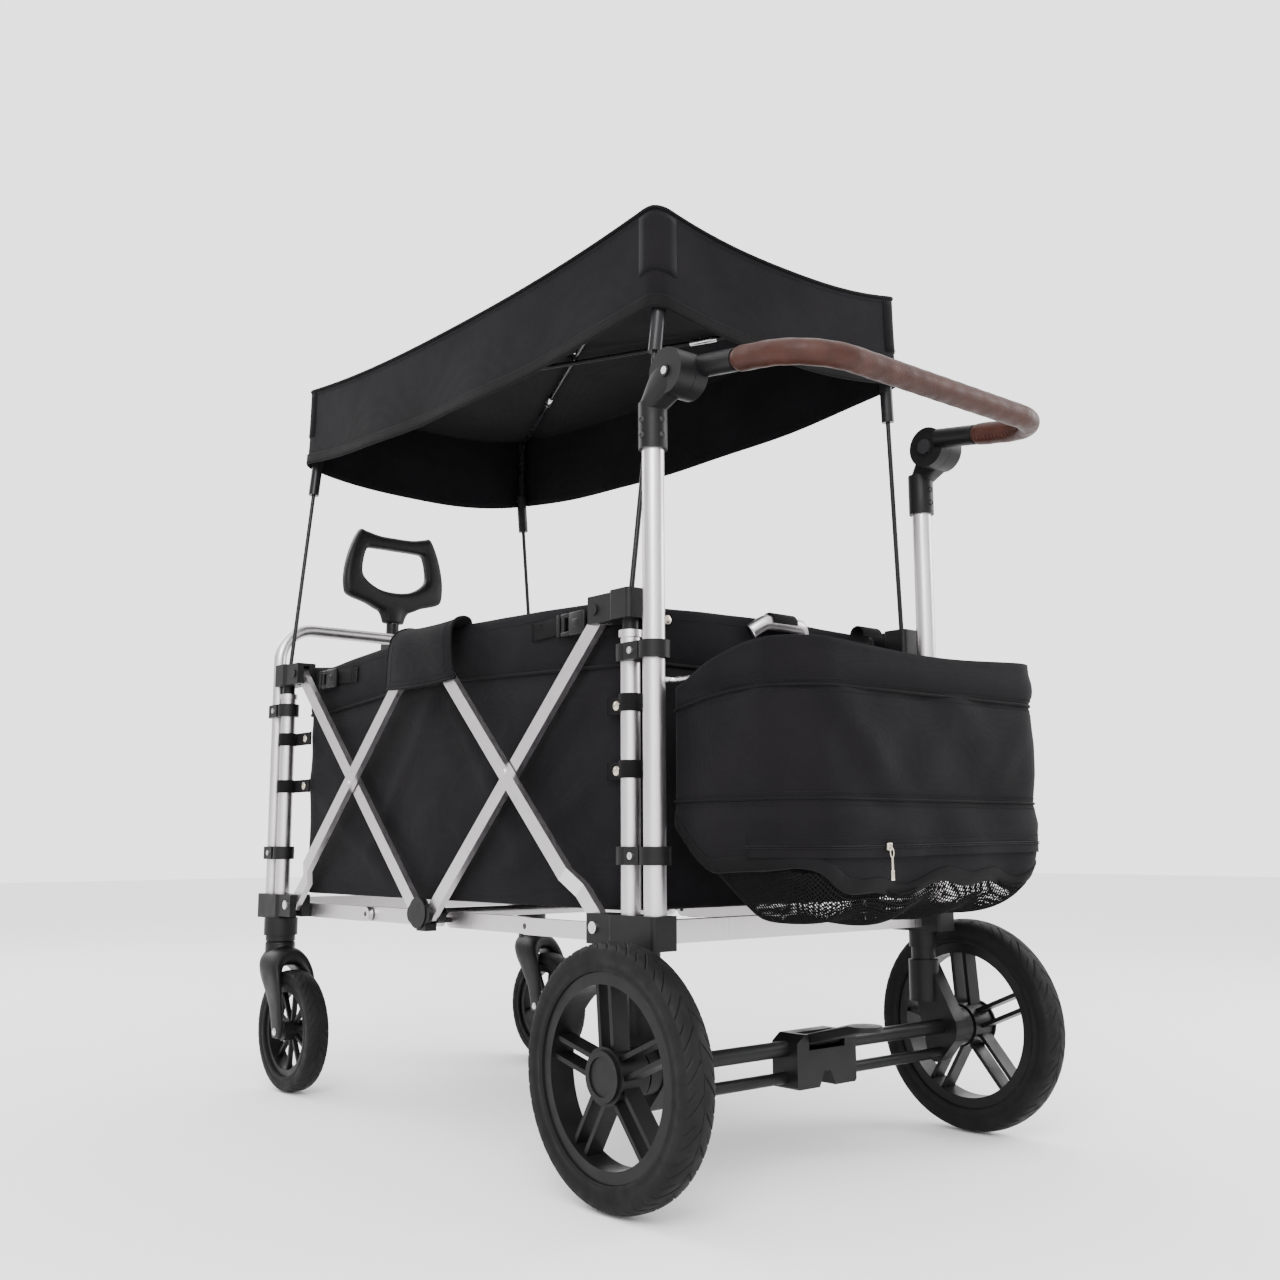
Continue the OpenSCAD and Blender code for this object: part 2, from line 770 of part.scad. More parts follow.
module canopy() {
    color("black") difference() {
        round_box(-roof_x, roof_x, roof_r, roof_f, roof_top - valance, roof_top, 14);
        round_box(-roof_x + 5, roof_x - 5, roof_r + 5, roof_f - 5, roof_top - valance - 20,
            roof_top - 12, 10);
    }
}

// Two crossed rods under the roof, each with a ferrule at its middle.
module roof_rods() {
    x = rear_pole_top.x;
    y0 = rear_pole_top.y;
    y1 = front_pole_top.y;
    mid = (y0 + y1) / 2;
    trim = 8 / norm([2 * x, y1 - y0]);
    color("gray") for (s = [-1, 1]) {
        z = roof_top - 23 + s * 5.25;
        near = [-s * x, y0, z];
        far = [s * x, y1, z];
        rod(near + (far - near) * trim, far - (far - near) * trim, 6);
        rod(near + (far - near) * 0.46, near + (far - near) * 0.54, 10);
    }
}

// The storage bag behind the push handle tubes, open at its top.
module rear_bag() {
    x = 228;
    color("black") difference() {
        round_box(-x, x, bag_r, bag_f, bag_floor, bag_top, 30);
        round_box(-x + 6, x - 6, bag_r + 6, bag_f - 6, bag_floor + 8, bag_top + 20, 24);
    }
}

// The bent tube that holds the bag's rim, fixed to the push handle tubes.
module bag_frame() {
    x = 236;
    d = 10;
    z = 612;
    bend = 40;
    rear = bag_r - 7;
    color("silver") difference() {
        union() {
            sides() {
                pin(x, post_x - 5, tube_r, z, d);
                translate([x, tube_r, z]) sphere(d = d);
                rod([x, tube_r, z], [x, rear + bend, z], d);
                translate([x - bend, rear + bend, z]) rotate([0, 0, -90])
                    rotate_extrude(angle = 90) translate([bend, 0]) circle(d = d);
            }
            pin(-x + bend, x - bend, rear, z, d);
        }
        sides() translate([post_x, tube_r, z - 20]) cylinder(h = 40, d = handle_tube_d);
    }
}

rear_posts();
front_posts();
rear_bottom_rail();
front_bottom_rail();
rear_bottom_blocks();
front_bottom_blocks();
push_handle_tubes();
rear_clamps();
front_clamps();
rear_bolts();
front_bolts();
rear_wheel_brackets();
brake_bars();
brake_housing();
brake_pedal();
handle_joint_sleeves();
handle_arms();
handle_bow();
grip_cover();
handle_button(-1);  // handle_button_left
handle_button(1);  // handle_button_right
rear_rim(-1);  // rear_rim_left
rear_rim(1);  // rear_rim_right
rear_tyre(-1);  // rear_tyre_left
rear_tyre(1);  // rear_tyre_right
rear_bearings();
rear_hub_cap(-1);  // rear_hub_cap_left
rear_hub_cap(1);  // rear_hub_cap_right
caster_fork(-1);  // caster_fork_left
caster_fork(1);  // caster_fork_right
front_rim(-1);  // front_rim_left
front_rim(1);  // front_rim_right
front_tyre(-1);  // front_tyre_left
front_tyre(1);  // front_tyre_right
outer_bars_rear();
outer_bars_front();
inner_bars_rear();
inner_bars_front();
side_hubs();
hub_cross_tube();
centre_pivots();
rear_top_blocks();
front_top_blocks();
rear_inner_posts();
front_inner_posts();
rear_canopy_poles();
front_canopy_poles();
bottom_rails_rear();
bottom_rails_front();
hub_rails_rear();
hub_rails_front();
front_bumper();
pole_clip();
pull_pole();
pull_handle();
roof_rods();
canopy();
tub();
rear_bag();
bag_frame();
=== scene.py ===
"""Looks for the folding pull wagon: fabric, leather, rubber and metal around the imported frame."""
import json
import math

import bmesh
import bpy
import numpy as np
from mathutils import Euler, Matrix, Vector


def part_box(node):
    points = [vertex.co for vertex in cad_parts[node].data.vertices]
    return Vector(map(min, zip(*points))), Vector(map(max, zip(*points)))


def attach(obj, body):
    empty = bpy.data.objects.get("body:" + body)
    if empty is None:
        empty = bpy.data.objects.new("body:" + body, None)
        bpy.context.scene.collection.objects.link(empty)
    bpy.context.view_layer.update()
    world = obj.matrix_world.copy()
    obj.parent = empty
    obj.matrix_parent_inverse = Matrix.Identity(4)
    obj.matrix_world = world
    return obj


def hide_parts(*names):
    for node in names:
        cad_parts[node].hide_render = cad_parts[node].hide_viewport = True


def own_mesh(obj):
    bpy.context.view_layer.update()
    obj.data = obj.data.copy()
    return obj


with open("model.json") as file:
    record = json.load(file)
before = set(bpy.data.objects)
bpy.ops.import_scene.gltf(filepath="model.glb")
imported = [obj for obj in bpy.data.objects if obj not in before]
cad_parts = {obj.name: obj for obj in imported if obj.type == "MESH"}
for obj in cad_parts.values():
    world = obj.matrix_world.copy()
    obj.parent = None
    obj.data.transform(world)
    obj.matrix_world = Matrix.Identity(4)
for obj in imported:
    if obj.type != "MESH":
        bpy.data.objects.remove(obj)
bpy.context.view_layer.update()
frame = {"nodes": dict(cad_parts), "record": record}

# ---- places taken from the frame ----

TUB_LO, TUB_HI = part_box("tub")
BAG_LO, BAG_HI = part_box("rear_bag")
ROOF_LO, ROOF_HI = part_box("canopy")
HUB_LO, HUB_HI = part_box("side_hubs")
MID_Y = (HUB_LO.y + HUB_HI.y) / 2
TAU = 2 * math.pi


# ---- camera, light and floor ----

def make_camera():
    """The camera stands behind the left rear corner, low, and looks slightly up."""
    data = bpy.data.cameras.new("camera")
    data.lens = 38.0
    data.sensor_width = 36.0
    data.clip_end = 60
    camera = bpy.data.objects.new("camera", data)
    camera.location = (-1.3485, -1.6752, 0.4137)
    camera.rotation_euler = Euler((math.radians(98.5), math.radians(0.2), math.radians(-40.3)))
    bpy.context.scene.collection.objects.link(camera)
    bpy.context.scene.camera = camera


def area_light(name, place, target, size, power):
    data = bpy.data.lights.new(name, "AREA")
    data.shape = "DISK"
    data.size = size
    data.energy = power
    light = bpy.data.objects.new(name, data)
    light.location = place
    light.rotation_euler = (Vector(target) - Vector(place)).to_track_quat("-Z", "Y").to_euler()
    bpy.context.scene.collection.objects.link(light)


def make_studio():
    """White surroundings, greyer at the sides, three soft lights and a pale floor."""
    world = bpy.data.worlds.new("studio")
    world.use_nodes = True
    tree = world.node_tree
    background = tree.nodes["Background"]
    background.inputs["Strength"].default_value = 2.6
    direction = tree.nodes.new("ShaderNodeTexCoord")
    across = tree.nodes.new("ShaderNodeVectorMath")
    across.operation = "DOT_PRODUCT"
    across.inputs[1].default_value = (0.763, -0.647, 0)
    sideways = tree.nodes.new("ShaderNodeMath")
    sideways.operation = "ABSOLUTE"
    level = tree.nodes.new("ShaderNodeValToRGB")
    level.color_ramp.elements[0].position = 0.42
    level.color_ramp.elements[0].color = (0.98, 0.98, 0.98, 1)
    level.color_ramp.elements[1].position = 0.86
    level.color_ramp.elements[1].color = (0.42, 0.415, 0.42, 1)
    tree.links.new(direction.outputs["Generated"], across.inputs[0])
    tree.links.new(across.outputs["Value"], sideways.inputs[0])
    tree.links.new(sideways.outputs[0], level.inputs["Fac"])
    tree.links.new(level.outputs["Color"], background.inputs["Color"])
    bpy.context.scene.world = world
    area_light("key", (-2.6, -2.4, 2.6), (0, 0, 0.6), 2.2, 130)
    area_light("side", (2.8, -1.6, 1.8), (0, -0.2, 0.6), 1.8, 60)
    area_light("back", (-1.0, 3.4, 2.8), (0, 0.2, 0.7), 2.4, 70)
    floor = grid_object("floor", [[(x, y, -0.001) for y in (-14, 14)] for x in (-14, 14)],
                        plain("floor_paint", (0.93, 0.93, 0.93), 0.9))


# ---- materials ----

class Shader:
    """A principled material and short ways to add nodes to it."""

    def __init__(self, name, colour, roughness, metallic=0.0):
        self.material = bpy.data.materials.new(name)
        self.material.use_nodes = True
        self.tree = self.material.node_tree
        self.surface = self.tree.nodes["Principled BSDF"]
        self.surface.inputs["Base Color"].default_value = (*colour, 1)
        self.surface.inputs["Roughness"].default_value = roughness
        self.surface.inputs["Metallic"].default_value = metallic
        self.place = self.add("ShaderNodeTexCoord").outputs["Object"]
        self.last_bump = None

    def add(self, kind, **inputs):
        node = self.tree.nodes.new(kind)
        for key, value in inputs.items():
            node.inputs[key.replace("_", " ")].default_value = value
        return node

    def join(self, output, target):
        self.tree.links.new(output, target)

    def noise(self, scale, detail=4.0, stretch=(1, 1, 1)):
        mapping = self.add("ShaderNodeMapping")
        mapping.inputs["Scale"].default_value = stretch
        self.join(self.place, mapping.inputs["Vector"])
        node = self.add("ShaderNodeTexNoise", Scale=scale, Detail=detail)
        self.join(mapping.outputs["Vector"], node.inputs["Vector"])
        return node.outputs["Fac"]

    def cells(self, scale):
        node = self.add("ShaderNodeTexVoronoi", Scale=scale)
        self.join(self.place, node.inputs["Vector"])
        return node.outputs["Distance"]

    def bands(self, axis, pitch):
        """Even bands across one axis, one each pitch metres."""
        node = self.add("ShaderNodeTexWave", Scale=TAU / (20 * pitch))
        node.bands_direction = axis
        self.join(self.place, node.inputs["Vector"])
        return node.outputs["Fac"]

    def math(self, operation, a, b):
        node = self.add("ShaderNodeMath")
        node.operation = operation
        for value, target in ((a, node.inputs[0]), (b, node.inputs[1])):
            if isinstance(value, (int, float)):
                target.default_value = value
            else:
                self.join(value, target)
        return node.outputs[0]

    def ramp(self, fac, stops):
        node = self.add("ShaderNodeValToRGB")
        node.color_ramp.elements[0].position = stops[0][0]
        node.color_ramp.elements[0].color = (*stops[0][1], 1)
        node.color_ramp.elements[1].position = stops[-1][0]
        node.color_ramp.elements[1].color = (*stops[-1][1], 1)
        for position, colour in stops[1:-1]:
            node.color_ramp.elements.new(position).color = (*colour, 1)
        self.join(fac, node.inputs["Fac"])
        return node.outputs["Color"]

    def colour(self, fac, stops):
        self.join(self.ramp(fac, stops), self.surface.inputs["Base Color"])

    def rough(self, fac, low, high):
        self.join(self.ramp(fac, [(0.3, (low,) * 3), (0.7, (high,) * 3)]),
                  self.surface.inputs["Roughness"])

    def bump(self, height, depth, strength=1.0):
        node = self.add("ShaderNodeBump", Strength=strength, Distance=depth)
        self.join(height, node.inputs["Height"])
        if self.last_bump is not None:
            self.join(self.last_bump, node.inputs["Normal"])
        self.last_bump = node.outputs["Normal"]
        self.join(self.last_bump, self.surface.inputs["Normal"])


def plain(name, colour, roughness):
    s = Shader(name, colour, roughness)
    s.rough(s.noise(6), roughness - 0.03, roughness + 0.03)
    return s.material


def shades(colour, spread):
    """A darker and a lighter version of a colour."""
    return [tuple(c * (1 - spread) for c in colour), tuple(min(c * (1 + spread), 1) for c in colour)]


def woven(name, colour, pitch=0.0011, sheen=0.05, rough=0.86):
    """Plain woven polyester: crossing threads, faint blotches and soft creases."""
    s = Shader(name, colour, rough)
    low, high = shades(colour, 0.28)
    s.colour(s.noise(9, 5), [(0.3, low), (0.7, high)])
    threads = s.math("MULTIPLY", s.math("MULTIPLY", s.bands("X", pitch), s.bands("Y", pitch)),
                     s.bands("Z", pitch))
    s.bump(threads, 0.0003, 0.5)
    s.bump(s.noise(26, 3), 0.004, 0.22)
    s.bump(s.noise(420, 2), 0.0004, 0.35)
    s.surface.inputs["Sheen Weight"].default_value = sheen
    s.surface.inputs["Sheen Roughness"].default_value = 0.45
    s.surface.inputs["Specular IOR Level"].default_value = 0.07
    return s.material


def moulded(name, colour, rough=0.42, grain=900):
    """Moulded plastic with a fine spark-eroded grain and slight wear."""
    s = Shader(name, colour, rough)
    low, high = shades(colour, 0.2)
    s.colour(s.noise(14, 6), [(0.35, low), (0.65, high)])
    s.rough(s.noise(30, 5), rough - 0.06, rough + 0.1)
    s.bump(s.noise(grain, 2), 0.00025, 0.35)
    s.surface.inputs["Specular IOR Level"].default_value = 0.18
    return s.material


def aluminium(name, colour=(0.60, 0.575, 0.585), stretch=(60, 60, 3)):
    """Anodised tube: drawn lines along its length and faint scuffs."""
    s = Shader(name, colour, 0.34, 1.0)
    low, high = shades(colour, 0.05)
    s.colour(s.noise(5, 6), [(0.3, low), (0.7, high)])
    s.rough(s.noise(12, 8, stretch), 0.27, 0.42)
    s.bump(s.noise(16, 6, stretch), 0.0002, 0.18)
    return s.material


def steel(name, colour=(0.62, 0.61, 0.6), rough=0.28):
    s = Shader(name, colour, rough, 1.0)
    s.rough(s.noise(70, 6), rough - 0.08, rough + 0.12)
    s.bump(s.noise(300, 4), 0.0001, 0.25)
    return s.material


def rubber(name):
    s = Shader(name, (0.01, 0.01, 0.0105), 0.65)
    s.colour(s.noise(18, 8), [(0.3, (0.0042, 0.0042, 0.0045)), (0.7, (0.009, 0.0086, 0.0086))])
    s.rough(s.noise(60, 6), 0.5, 0.72)
    s.bump(s.noise(650, 3), 0.0003, 0.4)
    s.surface.inputs["Specular IOR Level"].default_value = 0.12
    return s.material


def leather(name):
    """Brown grained leather with darker pores and rubbed lighter patches."""
    s = Shader(name, (0.072, 0.021, 0.014), 0.5)
    s.colour(s.noise(35, 6), [(0.25, (0.025, 0.0080, 0.0052)), (0.55, (0.036, 0.0118, 0.0078)),
                              (0.8, (0.050, 0.0168, 0.0112))])
    s.rough(s.noise(90, 5), 0.4, 0.56)
    s.bump(s.cells(520), 0.0006, 0.45)
    s.bump(s.noise(60, 5), 0.0012, 0.3)
    s.surface.inputs["Specular IOR Level"].default_value = 0.2
    return s.material


FABRIC = woven("fabric_black", (0.0056, 0.0050, 0.0060), sheen=0.03)
LINING = woven("fabric_lining", (0.0035, 0.0034, 0.0037), sheen=0.01)
WEBBING = woven("webbing_black", (0.0048, 0.0045, 0.0050), pitch=0.0022, sheen=0.02, rough=0.75)
THREAD = woven("thread_black", (0.0105, 0.0098, 0.011), pitch=0.0006, sheen=0.03)
MESH = woven("mesh_black", (0.0055, 0.0055, 0.006), pitch=0.0008, sheen=0.02)
PLASTIC = moulded("plastic_black", (0.0055, 0.0052, 0.0058))
PLASTIC_DARK = moulded("plastic_rim", (0.0046, 0.0044, 0.0047), 0.4)
BUTTON = moulded("plastic_button", (0.02, 0.02, 0.021), 0.34, 400)
COATED = moulded("powder_coat", (0.0055, 0.0055, 0.006), 0.38, 500)
FIBRE = moulded("fibreglass_black", (0.01, 0.01, 0.011), 0.25, 300)
TUBE = aluminium("aluminium_tube")
BAR = aluminium("aluminium_bar", (0.62, 0.595, 0.605), (30, 8, 8))
STEEL = steel("zinc_steel")
BRASS = steel("antique_brass", (0.56, 0.5, 0.42), 0.3)
RUBBER = rubber("tyre_rubber")
LEATHER = leather("grip_leather")
CAP_GREY = plain("cap_grey", (0.45, 0.44, 0.43), 0.4)
LEATHER_THREAD = woven("grip_thread", (0.055, 0.022, 0.016), pitch=0.0006)

LOOK_OF_SLOT = {"tube": TUBE, "black_plastic": PLASTIC, "steel": STEEL, "dark_metal": COATED,
                "tyre": RUBBER, "leather": LEATHER, "fabric": FABRIC, "button": BUTTON, "pole": FIBRE}
LOOK_OF_NODE = {"rear_rim_left": PLASTIC_DARK, "rear_rim_right": PLASTIC_DARK,
                "outer_bars_rear": BAR, "outer_bars_front": BAR, "inner_bars_rear": BAR,
                "inner_bars_front": BAR}


def dress_frame():
    """Gives every CAD node its material by slot, or its own."""
    for part in frame["record"]["subparts"]:
        name = part["node"]
        node = frame["nodes"][name]
        node.data.materials.clear()
        node.data.materials.append(LOOK_OF_NODE.get(name, LOOK_OF_SLOT[part["material_slot"]]))


# ---- mesh helpers ----

def mesh_object(name, points, faces, material, smooth=True):
    mesh = bpy.data.meshes.new(name)
    mesh.from_pydata([tuple(map(float, p)) for p in points], [], faces)
    mesh.materials.append(material)
    mesh.validate()
    if smooth:
        mesh.shade_smooth()
    obj = bpy.data.objects.new(name, mesh)
    bpy.context.scene.collection.objects.link(obj)
    return obj


def strip_faces(rows, columns, closed_rows=False, closed_columns=False):
    """Quads between neighbours in a grid stored row by row."""
    return [(i * columns + j, ((i + 1) % rows) * columns + j,
             ((i + 1) % rows) * columns + (j + 1) % columns, i * columns + (j + 1) % columns)
            for i in range(rows - (0 if closed_rows else 1))
            for j in range(columns - (0 if closed_columns else 1))]


def grid_object(name, rows, material, closed_rows=False, closed_columns=False, caps=False):
    """A surface through a grid of points."""
    count, width = len(rows), len(rows[0])
    faces = strip_faces(count, width, closed_rows, closed_columns)
    if caps:
        faces += [tuple(reversed(range(width))),
                  tuple((count - 1) * width + j for j in range(width))]
    return mesh_object(name, [p for row in rows for p in row], faces, material)


def modifier(obj, kind, **settings):
    added = obj.modifiers.new(kind.lower(), kind)
    for key, value in settings.items():
        setattr(added, key, value)
    return added


def bake_modifiers(obj):
    """Replaces the mesh by its evaluated result."""
    graph = bpy.context.evaluated_depsgraph_get()
    mesh = bpy.data.meshes.new_from_object(obj.evaluated_get(graph))
    obj.modifiers.clear()
    obj.data = mesh
    mesh.shade_smooth()
    return obj


def thick(obj, thickness, offset=-1.0, levels=0):
    """Gives a surface its thickness, and smooths it first if asked."""
    if levels:
        modifier(obj, "SUBSURF", levels=levels, render_levels=levels)
    modifier(obj, "SOLIDIFY", thickness=thickness, offset=offset, use_even_offset=False)
    return bake_modifiers(obj)


def frames_along(path, closed=False):
    """Centre, side and up vectors at each point of a path, turned as little as possible."""
    path = [Vector(p) for p in path]
    count = len(path)
    tangents = []
    for i in range(count):
        ahead = path[(i + 1) % count] if closed or i < count - 1 else path[i]
        behind = path[i - 1] if closed or i > 0 else path[i]
        tangents.append((ahead - behind).normalized())
    side = tangents[0].orthogonal().normalized()
    found = []
    for point, tangent in zip(path, tangents):
        side = (side - tangent * side.dot(tangent)).normalized()
        found.append((point, side, tangent.cross(side)))
    return found


def tube(name, path, radius, material, sides=12, closed=False):
    """A round bar along a path; radius is a number or a function of the share of the way."""
    placed = frames_along(path, closed)
    rows = []
    for i, (centre, side, up) in enumerate(placed):
        r = radius(i / (len(placed) - 1)) if callable(radius) else radius
        rows.append([centre + side * (r * math.cos(a)) + up * (r * math.sin(a))
                     for a in np.linspace(0, TAU, sides, endpoint=False)])
    return grid_object(name, rows, material, closed_rows=closed, closed_columns=True,
                       caps=not closed)


def ribbon(name, path, normal, width, thickness, material):
    """Flat webbing along a path, with its face towards normal at every point."""
    placed = frames_along(path)
    rows = []
    for i, (centre, _, _) in enumerate(placed):
        ahead = placed[min(i + 1, len(placed) - 1)][0] - placed[max(i - 1, 0)][0]
        face = (normal(i / (len(placed) - 1)) if callable(normal) else Vector(normal)).normalized()
        across = ahead.normalized().cross(face).normalized() * (width / 2)
        out = face * (thickness / 2)
        rows.append([centre - across - out, centre + across - out,
                     centre + across + out, centre - across + out])
    obj = grid_object(name, rows, material, closed_columns=True, caps=True)
    modifier(obj, "BEVEL", width=thickness * 0.3, segments=2, limit_method="ANGLE",
             angle_limit=math.radians(50))
    return bake_modifiers(obj)


def rounded_box(name, low, high, material, edge=0.003, segments=3):
    """A box with round edges between two corners."""
    low, high = Vector(low), Vector(high)
    points = [(x, y, z) for x in (low.x, high.x) for y in (low.y, high.y) for z in (low.z, high.z)]
    faces = [(0, 1, 3, 2), (4, 6, 7, 5), (0, 4, 5, 1), (2, 3, 7, 6), (0, 2, 6, 4), (1, 5, 7, 3)]
    obj = mesh_object(name, points, faces, material)
    modifier(obj, "BEVEL", width=edge, segments=segments)
    return bake_modifiers(obj)


def joined(name, pieces):
    """Several objects as one."""
    merged = bmesh.new()
    materials = []
    for piece in pieces:
        start = len(merged.faces)
        piece.data.transform(piece.matrix_world)
        merged.from_mesh(piece.data)
        merged.faces.ensure_lookup_table()
        material = piece.data.materials[0]
        if material not in materials:
            materials.append(material)
        for face in merged.faces[start:]:
            face.material_index = materials.index(material)
    mesh = bpy.data.meshes.new(name)
    merged.to_mesh(mesh)
    merged.free()
    for material in materials:
        mesh.materials.append(material)
    mesh.shade_smooth()
    obj = bpy.data.objects.new(name, mesh)
    bpy.context.scene.collection.objects.link(obj)
    for piece in pieces:
        bpy.data.objects.remove(piece)
    return obj


def perimeter(half_x, y0, y1, rear, front=None, step=0.012):
    """Points round a rectangle with round corners: [x, y, outward x, outward y] each."""
    front = front or rear
    corners = [(1, y0, rear, -90), (1, y1, front, 0), (-1, y1, front, 90), (-1, y0, rear, 180)]
    found = []
    for side, y, r, start in corners:
        cx, cy = side * (half_x - r), y + r if y == y0 else y - r
        arc = [(cx + r * math.cos(a), cy + r * math.sin(a), math.cos(a), math.sin(a))
               for a in np.radians(np.linspace(start, start + 90, max(7, round(r / 0.006))))]
        found += straight_between(found[-1], arc[0], step) if found else []
        found += arc
    return found + straight_between(found[-1], found[0], step)


def straight_between(p, q, step):
    """Points between two others, without either end."""
    count = max(int(math.dist(p[:2], q[:2]) / step), 2)
    return [(p[0] + (q[0] - p[0]) * t, p[1] + (q[1] - p[1]) * t, p[2], p[3])
            for t in np.linspace(0, 1, count + 1)[1:-1]]


def ridge(u, v, a, b, width):
    """How near (u, v) is to the line from a to b: 1 on it, fading over width."""
    d = np.array(b, float) - a
    t = np.clip(((u - a[0]) * d[0] + (v - a[1]) * d[1]) / (d @ d), 0, 1)
    near = math.hypot(u - a[0] - t * d[0], v - a[1] - t * d[1])
    return math.exp(-(near / width) ** 2) * (1 - 0.6 * abs(2 * t - 1) ** 3)


def ripple(*place):
    """A smooth, repeatable unevenness between about -1 and 1."""
    x, y, z = place
    return (math.sin(17.3 * x + 9.1 * z + 1.3) * math.sin(13.7 * y - 7.9 * z + 0.4)
            + 0.5 * math.sin(31.0 * x - 23.0 * y + 2.1) * math.sin(27.0 * z + 11.0 * y + 0.7))


def dress(piece, body, slot, *nodes):
    """Attaches a finished piece to its body and hides the CAD nodes it stands in for."""
    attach(piece, body)
    if nodes:
        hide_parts(*nodes)
    return piece


def stitches(name, path, pitch, radius, material=THREAD, share=0.6, slant=None):
    """A row of sewn stitches: short rounded threads along a path, or across it if slant is given."""
    path = [Vector(p) for p in path]
    merged = bmesh.new()
    travelled, due = 0.0, pitch / 2
    for a, b in zip(path, path[1:]):
        span = (b - a).length
        while span > 0 and due <= travelled + span:
            along = (b - a).normalized()
            middle = a + along * (due - travelled)
            if slant:
                along = (along * slant[0] + Vector(slant[1])).normalized()
            half = along * (pitch * share / 2)
            side = along.orthogonal().normalized()
            up = along.cross(side)
            rings = []
            for t, r in ((-1, 0.35), (-0.6, 1), (0.6, 1), (1, 0.35)):
                rings.append([merged.verts.new(middle + half * t
                                               + (side * math.cos(k * TAU / 6)
                                                  + up * math.sin(k * TAU / 6)) * radius * r)
                              for k in range(6)])
            for low, high in zip(rings, rings[1:]):
                for k in range(6):
                    merged.faces.new((low[k], low[(k + 1) % 6], high[(k + 1) % 6], high[k]))
            merged.faces.new(list(reversed(rings[0])))
            merged.faces.new(rings[-1])
            due += pitch
        travelled += span
    mesh = bpy.data.meshes.new(name)
    merged.to_mesh(mesh)
    merged.free()
    mesh.materials.append(material)
    mesh.shade_smooth()
    obj = bpy.data.objects.new(name, mesh)
    bpy.context.scene.collection.objects.link(obj)
    return obj


def lathe(name, centre, axis, profile, material, sides=28):
    """Turns a profile of (distance along axis, radius) pairs round an axis."""
    along = Vector(axis).normalized()
    side = along.orthogonal().normalized()
    up = along.cross(side)
    rows = [[Vector(centre) + along * d + (side * math.cos(a) + up * math.sin(a)) * max(r, 1e-4)
             for a in np.linspace(0, TAU, sides, endpoint=False)] for d, r in profile]
    obj = grid_object(name, rows, material, closed_columns=True, caps=True)
    obj.data.set_sharp_from_angle(angle=math.radians(40))
    return obj


# ---- soft pieces get their own mesh data ----


def fold_tub(piece):
    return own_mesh(piece)


def fold_roof(piece):
    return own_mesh(piece)


# ---- tyres ----

def tyre(node, body, depth, grooves):
    """A round-shouldered road tyre with slanted grooves, long and short in turn."""
    low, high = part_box(node)
    centre, radius, half = (low + high) / 2, (high.z - low.z) / 2, (high.x - low.x) / 2
    crown, cut = radius * 0.028, radius * 0.011
    section = [(x * half, radius - drop * crown) for x, drop in (
        (0, 0), (0.1, 0.01), (0.2, 0.04), (0.32, 0.11), (0.45, 0.22), (0.58, 0.38), (0.70, 0.60),
        (0.80, 0.86), (0.88, 1.18), (0.94, 1.6), (0.98, 2.2), (1.0, 3.0))]
    section += [(x * half, radius - share * depth) for x, share in (
        (0.995, 0.50), (0.985, 0.60), (0.945, 0.64), (0.935, 0.80), (0.955, 0.84), (0.95, 0.92),
        (0.88, 0.98), (0.60, 1.0))]
    full = [(-x, r) for x, r in reversed(section[1:])] + section
    steps, pitch = 8, TAU / grooves
    rows = []
    for i in range(grooves * steps):
        start = 0.08 if (i // steps) % 2 else 0.50
        row = []
        for x, r in full:
            reach = min(abs(x) / half, 0.9)
            a = TAU * i / (grooves * steps) + pitch * 1.7 * reach + (pitch if x < 0 else 0)
            cut_here = i % steps == 0 and start < abs(x) / half < 0.985 and r > radius - depth * 0.4
            r -= cut if cut_here else 0
            row.append((centre.x + x, centre.y + r * math.cos(a), centre.z + r * math.sin(a)))
        rows.append(row)
    piece = grid_object(node.replace("tyre", "tread"), rows, RUBBER, closed_rows=True,
                        closed_columns=True)
    piece.data.set_sharp_from_angle(angle=math.radians(42))
    dress(piece, body, "tyre", node)


# ---- casters ----

